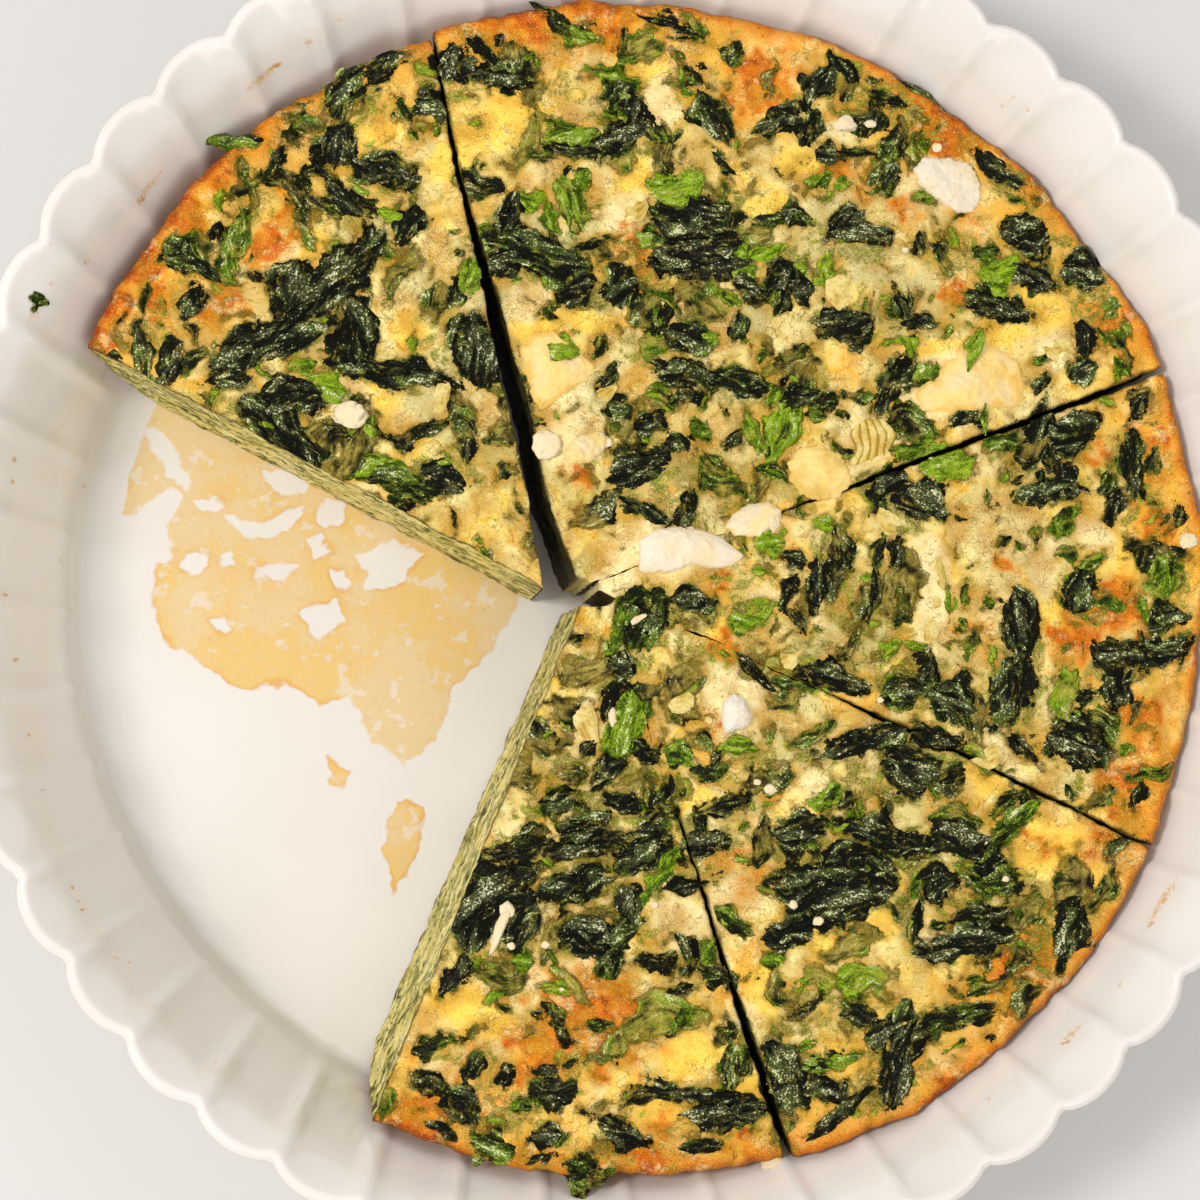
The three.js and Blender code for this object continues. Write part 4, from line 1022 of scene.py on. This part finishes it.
# The lumps of soft cheese. Crumbled by hand over the filling, they keep blunt broken faces. Most of
# them melted at the border and sank in level with the custard; three stayed white and dry.
# Name, middle, height over the top, warmth of the colour, how far it melted, and its outline in the
# picture.
CHEESE = [
    ("cheese_far_right", (64.4, 82.5), 2.0, 0.0, 0.1, [
        (914, 168), (926, 156), (952, 155), (972, 160), (982, 176), (984, 194), (976, 208), (962, 211),
        (950, 204), (936, 196), (922, 186)]),
    ("cheese_right", (69, 41), 1.3, 0.8, 0.8, [
        (914, 396), (926, 381), (944, 365), (962, 347), (985, 338), (1008, 349), (1026, 360), (1030, 386),
        (1020, 406), (984, 411),
        (948, 416), (922, 409)]),
    ("cheese_near_left_cut", (-16, 41), 1.4, 0.9, 0.8, [
        (520, 346), (531, 334), (551, 331), (569, 342), (596, 364), (589, 380), (560, 398), (540, 411),
        (532, 394), (526, 372)]),
    ("cheese_middle", (8.5, 8.5), 2.0, 0.1, 0.3, [
        (638, 540), (656, 529), (680, 527), (704, 530), (724, 538), (742, 553), (734, 565), (714, 569),
        (694, 565), (664, 575), (642, 570)]),
    ("cheese_middle_right", (26, 14.5), 1.8, 0.3, 0.4, [
        (724, 527), (734, 512), (750, 503), (770, 500), (783, 510), (780, 527), (768, 537), (750, 536),
        (736, 536)]),
    ("cheese_left_tip", (-9.5, 25.5), 2.0, 0.7, 0.2, [
        (561, 455), (576, 438), (598, 431), (609, 437), (604, 452), (590, 463), (570, 465)]),
    ("cheese_before_right_cut", (39, 23.6), 1.7, 1.2, 0.5, [
        (790, 460), (802, 446), (822, 443), (842, 452), (851, 466), (856, 483), (842, 495), (822, 499),
        (802, 493), (791, 478)]),
    ("cheese_crumble", (20.4, -26.7), 2.4, -0.3, 0.0, [
        (722, 702), (734, 693), (745, 700), (752, 716), (748, 727), (734, 731), (724, 735), (720, 718)]),
]


def share_out(x, y, middle, outline):
    """How far out each place lies between a lump's middle, 0, and its outline, 1."""
    dx, dy = x - middle[0], y - middle[1]
    distance = np.hypot(dx, dy) + 1e-9
    reach = np.full(x.shape, 1e9)
    corners = [Vector(spot(across, down, SIGHTED)) - Vector(middle) for across, down in outline]
    for one, other in zip(corners, corners[1:] + corners[:1]):
        side = other - one
        turned = (dx * side.y - dy * side.x) / distance
        turned = np.where(np.abs(turned) < 1e-6, 1e-6, turned)
        along = (one.x * dy - one.y * dx) / distance / turned
        hit = (one.x * side.y - one.y * side.x) / turned
        reach = np.where((hit > 0) & (along >= -0.001) & (along <= 1.001), np.minimum(reach, hit), reach)
    return distance / reach


def lumps(x, y):
    """How far the lumps of cheese stand over the skin."""
    height = np.zeros(x.shape)
    for _, middle, proud, _, _, outline in CHEESE:
        near = np.flatnonzero(np.hypot(x - middle[0], y - middle[1]) < 20)
        height[near] = np.maximum(height[near],
                                  proud * soft(1.05 - share_out(x[near], y[near], middle, outline), 0, 0.3))
    return height


def cheese_look(shade):
    small = grain(shade, 5, 3)
    fine = grain(shade, 1.1, 3)
    finest = grain(shade, 0.35, 2)
    warmth = stored(shade, "warmth")
    white = warmth.rise(-0.4, 0.4).blend(tint(226, 218, 202), tint(228, 210, 172))
    colour = (warmth + 0.6 * (small - 0.5)).rise(0.2, 1.0).blend(white, tint(238, 206, 128))
    colour = (stored(shade, "melted") + 0.9 * (small - 0.5)).rise(0.25, 0.9).blend(colour, tint(226, 186, 98))
    colour = ((0.5 * fine + 0.5 * finest).rise(0.57, 0.66) * 0.25).blend(colour, tint(176, 140, 66))
    colour = (warmth + 1.2 * (small - 0.5)).rise(1.0, 1.6).blend(colour, tint(212, 178, 92))
    relief = 0.3 * small + 0.3 * fine + 0.12 * finest
    return {"Base Color": colour, "Roughness": 0.34 + 0.25 * fine, "Normal": relief.bump(0.0008)}


curd = finish_of("soft_cheese", cheese_look, Specular_IOR_Level=0.2, Subsurface_Weight=0.1,
                 Subsurface_Radius=(1.0, 0.7, 0.4),
                 Subsurface_Scale=0.0015)
for number, (name, middle, proud, warmth, melt, outline) in enumerate(CHEESE):
    bm = bmesh.new()
    bmesh.ops.create_icosphere(bm, subdivisions=6, radius=1.0)
    lump = mesh_of(name + "_lump", bm)
    x, y, z = places(lump).T
    far = np.hypot(x, y) + 1e-9
    reach = 1 / share_out(middle[0] + x / far, middle[1] + y / far, middle, outline)
    knock = (1 + 0.05 * ripple(x * 4 + 9 * number, y * 4, 1.3, 61)
             + 0.04 * ripple(x * 9, y * 9 + number, 1.3, 62))
    at_x = middle[0] + x * reach * knock
    at_y = middle[1] + y * reach * knock
    plateau = np.abs(z) ** (0.7 + 0.8 * melt)
    broken = (0.45 * torn(at_x + 5 * number, at_y, 6, 63) + 0.2 * torn(at_x, at_y + 3 * number, 2.6, 64)
              + 0.1 * ripple(at_x, at_y, 1.2, 65))
    if warmth > 1:
        broken = broken + 0.3 * np.sin(9 * np.hypot(x - 0.5, y + 0.6) + 3 * ripple(x, y, 0.8, 68))
        melt = melt - 0.3 * np.sin(9 * np.hypot(x - 0.5, y + 0.6) + 3 * ripple(x, y, 0.8, 68))
    bed = TOP + swell(at_x, at_y) + 0.4 * puffs(at_x, at_y)
    move(lump, at_x, at_y, bed - 0.2 + np.where(z > 0, plateau * (proud + 0.2 + broken), -1.6 * np.abs(z)))
    keep(lump, "warmth", warmth + 0.35 * ripple(at_x, at_y, 5, 66))
    keep(lump, "melted", (0.25 + melt) * (1 - soft(np.abs(z), 0.1, 0.4 + 0.5 * melt))
         + 0.7 * melt * soft(ripple(at_x, at_y, 4, 67), 0.0, 0.6))
    lump.data.materials.append(curd)
    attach(lump, "root")
    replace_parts(lump, name)


# The wilted leaves that lie on the top. Each is a thin sheet with long folds. Its edges sink into
# the custard here and there, which baked around it, and it was cut through with the wedge.
LEAF_MESH = 0.5
LEAF_THICKNESS = 0.25


def wilted_leaves(name, leaves, cuts):
    """One piece with all these leaves, laid on the skin, then trimmed by the wedge's two cuts."""
    bm = bmesh.new()
    owner = bm.verts.layers.int.new("leaf")
    for number, (x, y, half_length, half_width, *_) in enumerate(leaves):
        before = len(bm.verts)
        bmesh.ops.create_grid(bm, x_segments=max(5, round(2 * half_length / LEAF_MESH)),
                              y_segments=max(4, round(2.4 * half_width / LEAF_MESH)), size=1.0)
        bm.verts.ensure_lookup_table()
        for vertex in bm.verts[before:]:
            vertex[owner] = number
    owners = np.array([v[owner] for v in bm.verts])
    piece = mesh_of(name, bm)
    s, t, _ = places(piece).T
    x0, y0, half_length, half_width, turn, tone, film, lift = np.array(leaves)[owners].T
    seed = x0 + 3.3 * y0
    hem = 50 * np.sign(t)
    ragged = 0.35 * ripple(s * 3 + seed, hem, 2.2, 41) + 0.4 * torn(s * half_length + seed, hem, 4, 42)
    ragged += (0.2 * torn(s * half_length + seed, hem, 1.7, 55)
               + 0.08 * torn(s * half_length, hem + seed, 0.9, 56))
    width = half_width * (0.04 + np.clip(1 - np.abs(s) ** 1.8, 0, 1) ** 0.8 * (1 + ragged))
    u = s * half_length * (1 + 0.15 * ripple(t * 4 + seed, seed, 2.0, 43))
    v = t * width + 0.3 * half_width * np.sin(s * 2.4 + seed)
    bent = np.minimum(1, half_width / 2.5)
    bend_u = bent * 0.7 * ripple(u + seed, v, 4.0, 44)
    bend_v = bent * 0.7 * ripple(u + seed, v, 4.0, 51)
    x = x0 + (u + bend_u) * np.cos(turn) - (v + bend_v) * np.sin(turn)
    y = y0 + (u + bend_u) * np.sin(turn) + (v + bend_v) * np.cos(turn)
    folds = 1.9 * np.abs(ripple(0.22 * u + seed, 0.9 * v + 1.5 * bend_v, 3.6, 46)) - 0.6
    pucker = 1.5 * np.abs(ripple(0.35 * u + seed, 1.3 * v, 1.9, 47)) - 0.45
    crest = np.minimum(1.0, half_width / 2.6) * folds + 0.3 * bent * pucker
    tuck = np.abs(t) ** 3 * (0.7 + 0.8 * ripple(s * 8 + seed, t * 2, 3.0, 49)) + 0.9 * np.abs(s) ** 6
    bed = TOP + swell(x, y) + 0.5 * puffs(x, y) + lumps(x, y)
    z = bed + 0.35 + 0.5 * lift + 0.75 * crest - (0.35 + 0.6 * bent) * tuck
    z -= 1.5 * np.exp(-np.maximum(CRUST - np.hypot(x, y), 0) / 0.7)
    move(piece, x, y, z)
    fringe = 0.45 * np.abs(t) ** 5 * soft(ripple(u + seed, v, 5, 57), -0.2, 0.4)
    # The tone is raised on the crests and lowered in the folds: painted light and shade.
    keep(piece, "tone", np.clip(tone + 0.22 * ripple(u + seed, v, 4.5, 50) + fringe + 0.22 * crest, 0, 1))
    keep(piece, "crest", crest)
    keep(piece, "film", film + 0.4 * np.abs(t) ** 4 + 0.3 * np.abs(s) ** 5
         + 0.35 * ripple(u + seed, v, 4, 54) - 0.2 * crest)
    keep(piece, "flow", np.stack([0.35 * u + 7.7 * seed, v, 0 * u, 0 * u], 1))
    bm = bmesh.new()
    bm.from_mesh(piece.data)
    for place, outwards in cuts:
        bmesh.ops.bisect_plane(bm, geom=bm.verts[:] + bm.edges[:] + bm.faces[:], dist=1e-6, plane_co=place,
                               plane_no=outwards,
                               clear_outer=True)
    bm.to_mesh(piece.data)
    bm.free()
    thickness = piece.modifiers.new("thickness", "SOLIDIFY")
    thickness.thickness = LEAF_THICKNESS * MM
    thickness.offset = -1
    piece.data.materials.append(spinach)
    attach(piece, "root")
    return piece


def leaf_look(shade):
    small = grain(shade, 3.5, 3)
    fine = grain(shade, 1.0, 3)
    finest = grain(shade, 0.4, 2)
    film = stored(shade, "film") + 0.9 * (fine - 0.5) + 0.5 * (small - 0.5)
    green, wrinkles = leaf_green(shade, fine, finest, film)
    film = film.rise(0.4, 0.95)
    film = film * (0.55 + 2.4 * (0.5 * fine + 0.5 * finest - 0.5)).held()
    colour = film.blend(green, small.rise(0.3, 0.7).blend(tint(136, 118, 30), tint(202, 176, 82)))
    return {"Base Color": colour, "Roughness": 0.16 + 0.16 * fine + 0.2 * film,
            "Normal": (wrinkles + 0.2 * fine).bump(0.0008)}


spinach = finish_of("wilted_spinach", leaf_look, Specular_IOR_Level=0.09, Specular_Tint=(1, 1, 0.75, 1))


def in_wedge(x, y, tip, first, last):
    """How far, in degrees, a place lies inside the wedge's cuts."""
    bearing = math.degrees(math.atan2(y - tip[1], x - tip[0]))
    return min(bearing - first, last - bearing)


shreds = [leaf for leaf in chopped if leaf[2] > 1.0 and leaf[6] < 0.3 and math.hypot(*leaf[:2]) < 113
          and not lumps(np.array([leaf[0]]), np.array([leaf[1]]))[0]]
on_top = [leaf for leaf in placed if leaf[6] < 0.4] + shreds[:210]
for name, _, tip, first, last, _, _, stand_first, stand_last, *_ in WEDGES:
    cuts = []
    for direction, side, gap in ((first, 1, min(stand_first)), (last, -1, min(stand_last))):
        inwards = Vector((-math.sin(math.radians(direction)), math.cos(math.radians(direction)), 0)) * side
        cuts.append(((Vector((*tip, 0)) + inwards * gap) * MM, -inwards))
    leaves = [leaf for leaf in on_top if in_wedge(*leaf[:2], tip, first, last) > 0]
    for node in [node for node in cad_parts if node.startswith("leaf_")]:
        low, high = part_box(node)
        x, y = (low[0] + high[0]) / 2 / MM, (low[1] + high[1]) / 2 / MM
        if in_wedge(x, y, tip, first, last) > 0:
            own = min(leaves, key=lambda leaf: math.hypot(leaf[0] - x, leaf[1] - y) - 0.6 * leaf[2])
            leaves.remove(own)
            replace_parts(wilted_leaves("wilted_" + node, [own], cuts), node)
    wilted_leaves(name.replace("slice", "small_leaves"), leaves, cuts)


# The juice that ran out and dried. A thin amber film lies on the bare floor, torn into patches, with a
# darker line where it crept back. It goes on a little under the wedges beside it.
FILM_OUTLINES = [  # rings of places in the picture
    [(114, 414), (150, 398), (200, 380), (300, 410), (430, 470), (540, 560), (500, 640), (452, 690),
     (440, 742), (404, 764), (372, 742),
     (350, 700), (318, 706), (286, 684), (240, 690), (200, 664), (163, 640), (156, 628), (152, 588),
     (157, 565), (170, 560), (172, 550),
     (167, 528), (180, 494), (172, 489), (126, 517), (118, 513), (116, 478)],
    [(398, 800), (424, 806), (418, 856), (396, 892), (382, 860), (386, 824)],
    [(330, 760), (352, 770), (344, 790), (326, 782)],
]
FILM_HOLES = [
    [(145, 426), (163, 434), (188, 470), (187, 490), (170, 479), (157, 456), (145, 438)],
    [(264, 473), (280, 468), (296, 471), (308, 486), (294, 496), (271, 492)],
    [(195, 499), (213, 497), (220, 506), (204, 511)],
    [(226, 515), (238, 521), (262, 523), (294, 508), (306, 503), (296, 522), (276, 536), (262, 538),
     (240, 534), (233, 525)],
    [(179, 567), (195, 551), (208, 554), (208, 565), (190, 572)],
    [(253, 577), (267, 564), (298, 567), (285, 579), (262, 579)],
    [(360, 556), (392, 540), (424, 552), (400, 584), (366, 588)],
    [(300, 612), (336, 600), (344, 622), (318, 640)],
    [(318, 508), (330, 498), (344, 506), (342, 524), (326, 530), (316, 520)],
    [(306, 540), (322, 536), (330, 552), (314, 560)],
    [(220, 556), (232, 552), (236, 564), (224, 568)], [(330, 574), (344, 570), (352, 584), (338, 592)],
    [(212, 620), (226, 616), (230, 628), (216, 632)],
]


def inside_ring(x, y, ring):
    """How far in millimetres each place of the floor lies inside a ring of the picture, minus outside."""
    corners = [spot(across, down, FLOOR) for across, down in ring]
    distance = np.full(x.shape, 1e9)
    inside = np.zeros(x.shape, bool)
    for (ax, ay), (bx, by) in zip(corners, corners[1:] + corners[:1]):
        along = ((x - ax) * (bx - ax) + (y - ay) * (by - ay)) / ((bx - ax) ** 2 + (by - ay) ** 2)
        along = np.clip(along, 0, 1)
        distance = np.minimum(distance, np.hypot(x - ax - along * (bx - ax), y - ay - along * (by - ay)))
        inside ^= ((ay > y) != (by > y)) & (x < (bx - ax) * (y - ay) / (by - ay) + ax)
    return np.where(inside, distance, -distance)


bm = bmesh.new()
bmesh.ops.create_grid(bm, x_segments=230, y_segments=340, size=1.0)
for vertex in bm.verts:
    vertex.co = (-62 + 46 * vertex.co.x, -8 + 68 * vertex.co.y, 0)
x, y = np.array([vertex.co[:2] for vertex in bm.verts]).T
bent_x = x + 0.9 * ripple(x, y, 4, 101) + 0.5 * ripple(x, y, 1.8, 102)
bent_y = y + 0.9 * ripple(x, y, 4, 104) + 0.5 * ripple(x, y, 1.8, 105)
wetness = np.full(x.shape, -9.0)
for ring in FILM_OUTLINES:
    wetness = np.maximum(wetness, inside_ring(bent_x, bent_y, ring))
for ring in FILM_HOLES:
    wetness = np.minimum(wetness, -inside_ring(bent_x, bent_y, ring))
wetness = np.minimum(wetness, 102.5 - np.hypot(x, y))
bm.verts.ensure_lookup_table()
bmesh.ops.delete(bm, geom=[bm.verts[i] for i in np.flatnonzero(wetness < -0.9)], context="VERTS")
film = mesh_of("dried_juice", bm)
x, y, _ = places(film).T
wetness = wetness[wetness >= -0.9]
move(film, x, y, FLOOR + 0.08 + 0.05 * np.clip(wetness, -1, 1))
keep(film, "wetness", wetness)


def juice_look(shade):
    cloud = grain(shade, 16, 3)
    small = grain(shade, 5, 3)
    fine = grain(shade, 1.2, 2)
    wet = stored(shade, "wetness") + 1.6 * (small - 0.5) + 0.5 * (fine - 0.5)
    ring = wet.rise(1.1, 0.35) * cloud.rise(0.4, 0.6)
    dried = (0.6 * small + 0.4 * grain(shade, 2.2, 3)).rise(0.56, 0.62)
    thick = (cloud + 0.5 * small - 0.25).rise(0.4, 0.6)
    strength = (0.36 + 0.16 * thick + 0.16 * ring + 0.1 * (fine - 0.5)) * (1 - 0.6 * dried)
    colour = ring.blend(tint(248, 202, 70), tint(238, 176, 44))
    colour = (fine.rise(0.62, 0.72) * 0.4).blend(colour, tint(206, 150, 56))
    return {"Base Color": colour, "Alpha": wet.rise(-0.3, 0.6) * strength, "Roughness": 0.12 + 0.2 * cloud}


film.data.materials.append(finish_of("dried_juice", juice_look))
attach(film, "root")


# The crumbs. Bits of soft cheese and of grated hard cheese that fell on the baked top, and one crumb
# of custard on the dish's wall.
CRUMBS = [  # across, down, length and width in the picture, turn, height over what it lies on
    (937, 148, 12, 9, 10, 0.8), (846, 124, 28, 17, 10, 1.0), (637, 620, 24, 7, 30, 0.9),
    (612, 716, 9, 20, 10, 0.9), (511, 946, 8, 7, 0, 0.6), (545, 945, 9, 7, 0, 0.6),
    (500, 928, 50, 10, 68, 0.9), (507, 910, 14, 16, 20, 0.8), (1188, 541, 20, 16, 0, 1.2),
    (772, 1163, 22, 18, 30, 1.4), (793, 905, 9, 8, 0, 0.6), (818, 921, 11, 9, 0, 0.6),
    (770, 789, 12, 9, 0, 0.7), (757, 782, 8, 6, 0, 0.6), (870, 124, 12, 8, 0, 0.7),
    (350, 415, 34, 26, 0, 1.0), (1005, 880, 10, 7, 30, 0.6), (546, 445, 30, 28, 30, 1.6),
    (985, 842, 7, 6, 0, 0.5), (600, 440, 22, 14, -20, 0.9), (690, 530, 9, 7, 0, 0.6),
    (905, 250, 8, 6, 0, 0.5), (655, 905, 7, 6, 0, 0.5), (880, 700, 7, 6, 0, 0.5), (560, 990, 8, 6, 0, 0.5),
]
carriers = [dish] + [bpy.data.objects[values[0] + "_baked"] for values in WEDGES]
carriers = [BVHTree.FromObject(made, bpy.context.evaluated_depsgraph_get()) for made in carriers]


def seen(across, down):
    """The place in millimetres, and the way that the surface faces, that the picture shows at a pixel."""
    towards = (Vector((*spot(across, down, 0), 0)) - CAMERA_AT).normalized()
    hits = [tree.ray_cast(CAMERA_AT * MM, towards) for tree in carriers]
    place, facing, _, _ = min((hit for hit in hits if hit[0]), key=lambda hit: hit[3])
    return place / MM, facing


def laid_bits(name, bits, shape):
    """One piece with all these bits. shape(bm, number, length, width, height) makes one, which lies flat."""
    bm = bmesh.new()
    for number, (across, down, length, width, turn, height) in enumerate(bits):
        before = len(bm.verts)
        shape(bm, number, length / PIXELS_PER_MM, width / PIXELS_PER_MM, height)
        bm.verts.ensure_lookup_table()
        place, facing = seen(across, down)
        upright = Vector((0, 0, 1)).rotation_difference((facing + Vector((0, 0, 1))).normalized())
        turned = Matrix.Rotation(math.radians(turn), 4, "Z")
        bmesh.ops.transform(bm, verts=bm.verts[before:],
                            matrix=Matrix.Translation(place) @ upright.to_matrix().to_4x4() @ turned)
    bmesh.ops.scale(bm, verts=bm.verts[:], vec=(MM, MM, MM))
    made = mesh_of(name, bm)
    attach(made, "root")
    return made


def crumb(bm, number, length, width, height):
    grown = bmesh.ops.create_icosphere(bm, subdivisions=3, radius=1.0)["verts"]
    x, y, z = np.array([vertex.co for vertex in grown]).T
    knock = (1 + 0.3 * ripple(x + 3 * number, y + 2 * z, 0.9, 111)
             + 0.2 * torn(x + z, y + 5 * number, 0.8, 112))
    for vertex, scale in zip(grown, knock):
        x, y, z = vertex.co * scale
        vertex.co = (x * length / 2, y * width / 2, (z + 0.5) * height / 2)


crumbs = laid_bits("cheese_crumbs", CRUMBS, crumb)
keep(crumbs, "melted", np.zeros(len(crumbs.data.vertices)))
keep(crumbs, "warmth", np.full(len(crumbs.data.vertices), 0.3))
crumbs.data.materials.append(curd)


# The onion. Slices of leek and onion went glassy in the pan. They lie on the skin as bent strips and
# as rings, ribbed along their length.
ONION = [  # across, down, length and width in the picture, turn, height over the skin
    (874, 442, 46, 42, 92, 0.9), (584, 716, 58, 22, -75, 0.9), (843, 293, 36, 34, 0, 0.7),
    (791, 658, 34, 26, 30, 0.8), (1060, 560, 34, 18, -60, 0.5), (935, 600, 90, 20, 85, 0.5),
    (630, 210, 40, 26, 20, 0.5), (560, 226, 50, 24, -10, 0.4), (892, 522, 34, 26, -20, 0.8),
    (440, 400, 40, 18, 70, 0.4), (1060, 350, 30, 22, 20, 0.4), (690, 700, 44, 18, 30, 0.4),
    (985, 762, 40, 20, 35, 0.5), (600, 395, 40, 18, 30, 0.4),
]


def onion_slice(bm, number, length, width, height):
    ribs = bm.verts.layers.float.get("rib") or bm.verts.layers.float.new("rib")
    grown = bmesh.ops.create_grid(bm, x_segments=24, y_segments=24, size=1.0)["verts"]
    for vertex in grown:
        s, t, _ = vertex.co
        outline = (1 - (0.5 if number else 0.1) * abs(s) ** 3) * (1 + 0.12 * math.sin(5 * s + number))
        vertex[ribs] = (0.2 if number else 0.8) * math.cos(t * (8 + width))
        rib = 0.1 * vertex[ribs] * (1 - t * t)
        bulge = (1 - t * t) * (1 - s**4)
        vertex.co = (s * length / 2, (t * outline + 0.25 * s * s) * width / 2, height * (0.5 * bulge - 0.3)
                     + rib)
    for face in {face for vertex in grown for face in vertex.link_faces}:
        face.smooth = True


def onion_look(shade):
    small = grain(shade, 3, 3)
    fine = grain(shade, 0.7, 3)
    colour = small.rise(0.35, 0.65).blend(tint(204, 172, 84), tint(222, 202, 130))
    # Painted shade: darker lines in the grooves between the ribs.
    colour = (stored(shade, "rib") + 2 * (small - 0.5)).rise(0.0, -0.7).blend(colour, tint(160, 126, 40))
    colour = (fine.rise(0.48, 0.62) * 0.35).blend(colour, tint(150, 132, 62))
    return {"Base Color": colour, "Roughness": 0.2 + 0.15 * fine,
            "Normal": (0.3 * small + 0.2 * fine).bump(0.0006)}


onions = laid_bits("onion_slices", ONION, onion_slice)
onions.data.materials.append(finish_of("cooked_onion", onion_look, Specular_IOR_Level=0.15,
                                       Subsurface_Weight=0.1,
                                       Subsurface_Radius=(1.0, 0.8, 0.4), Subsurface_Scale=0.0015))
thickness = onions.modifiers.new("thickness", "SOLIDIFY")
thickness.thickness = 0.35 * MM
thickness.offset = -1


# The stains on the glaze. Drops and streaks of egg that ran down the dish's wall and baked on, and a
# bit of leaf that stuck there.
STAINS = [  # across, down, length and width in the picture, turn, strength
    (14, 460, 7, 6, 0, 1.0), (12, 482, 6, 6, 0, 0.9), (5, 595, 8, 5, 0, 0.8), (15, 660, 10, 5, 20, 0.9),
    (28, 735, 5, 6, 0, 0.8), (42, 790, 5, 5, 0, 0.7), (83, 485, 8, 7, 0, 0.4), (50, 245, 7, 4, 30, 0.4),
    (52, 284, 10, 7, 0, 0.35), (86, 262, 10, 8, 0, 0.3), (72, 888, 4, 6, 0, 1.0), (78, 902, 5, 4, 0, 0.8),
    (82, 910, 6, 4, 0, 0.9), (116, 958, 9, 4, -20, 0.6), (130, 963, 6, 4, 0, 0.5), (262, 77, 48, 9, 38, 0.6),
    (308, 43, 9, 8, 0, 0.7), (338, 20, 7, 6, 0, 0.6), (275, 66, 20, 5, 30, 0.9), (148, 188, 52, 8, 52, 0.6),
    (142, 200, 16, 5, 60, 0.8), (1163, 901, 66, 9, 58, 0.6), (1150, 925, 18, 6, 40, 0.7),
    (1072, 1034, 36, 8, 42, 0.6), (1066, 1043, 12, 4, 20, 0.9), (1013, 97, 8, 5, 20, 0.6),
    (1002, 106, 5, 4, 0, 0.5), (33, 314, 22, 14, 50, 0.35), (1028, 110, 5, 4, 0, 0.5),
    (60, 560, 5, 4, 0, 0.4), (97, 842, 5, 4, 0, 0.5), (215, 1062, 8, 5, 40, 0.4), (300, 1098, 6, 5, 0, 0.4),
    (1120, 985, 8, 4, 40, 0.5), (990, 1100, 6, 5, 0, 0.4),
]


def draped(name, bits, lift):
    """Thin patches laid on the glaze, whose stored wetness falls from their strength to 0 at the border."""
    bm = bmesh.new()
    spread = []
    for across, down, length, width, turn, strength in bits:
        before = len(bm.verts)
        bmesh.ops.create_circle(bm, segments=32, radius=1.0, cap_ends=True)
        bm.verts.ensure_lookup_table()
        rim = bm.verts[before].link_faces[:]
        for ring in range(5):
            bmesh.ops.inset_region(bm, faces=rim, thickness=0.17, use_boundary=True, use_even_offset=False)
        bm.verts.ensure_lookup_table()
        for vertex in bm.verts[before:]:
            s, t, _ = vertex.co
            spread.append((strength, math.hypot(s, t)))
            ragged = 1 + 0.35 * float(ripple(np.array(2 * s + across), np.array(2 * t + down), 1.1, 121))
            along, aside = s * ragged * length / 2, t * ragged * width / 2
            tilt = math.radians(turn)
            place, facing = seen(across + along * math.cos(tilt) + aside * math.sin(tilt),
                                 down - along * math.sin(tilt) + aside * math.cos(tilt))
            vertex.co = (place + facing * lift) * MM
    made = mesh_of(name, bm)
    strength, far = np.array(spread).T
    keep(made, "wetness", strength * (1 - np.clip(far, 0, 1) ** 2))
    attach(made, "root")
    return made


def stain_look(shade):
    fine = grain(shade, 0.9, 3)
    wet = stored(shade, "wetness")
    colour = (wet + 0.5 * (fine - 0.5)).rise(0.4, 1.0).blend(tint(236, 186, 100), tint(198, 124, 46))
    torn_up = (wet + 2.4 * (fine - 0.5)).rise(0.0, 1.0)
    return {"Base Color": colour, "Alpha": torn_up * 0.55, "Roughness": 0.3}


stains = draped("baked_on_drops", STAINS, 0.18)
stains.data.materials.append(finish_of("baked_on_egg", stain_look))

bit = draped("leaf_bit_on_wall", [(38, 299, 21, 13, -20, 1.0), (34, 308, 9, 6, 60, 1.0)], 0.25)
keep(bit, "tone", np.full(len(bit.data.vertices), 0.4))
keep(bit, "film", np.full(len(bit.data.vertices), 0.1))
keep(bit, "crest", np.zeros(len(bit.data.vertices)))
keep(bit, "flow", np.tile(places(bit) / MM, (1, 2))[:, :4])
bit.data.materials.append(spinach)
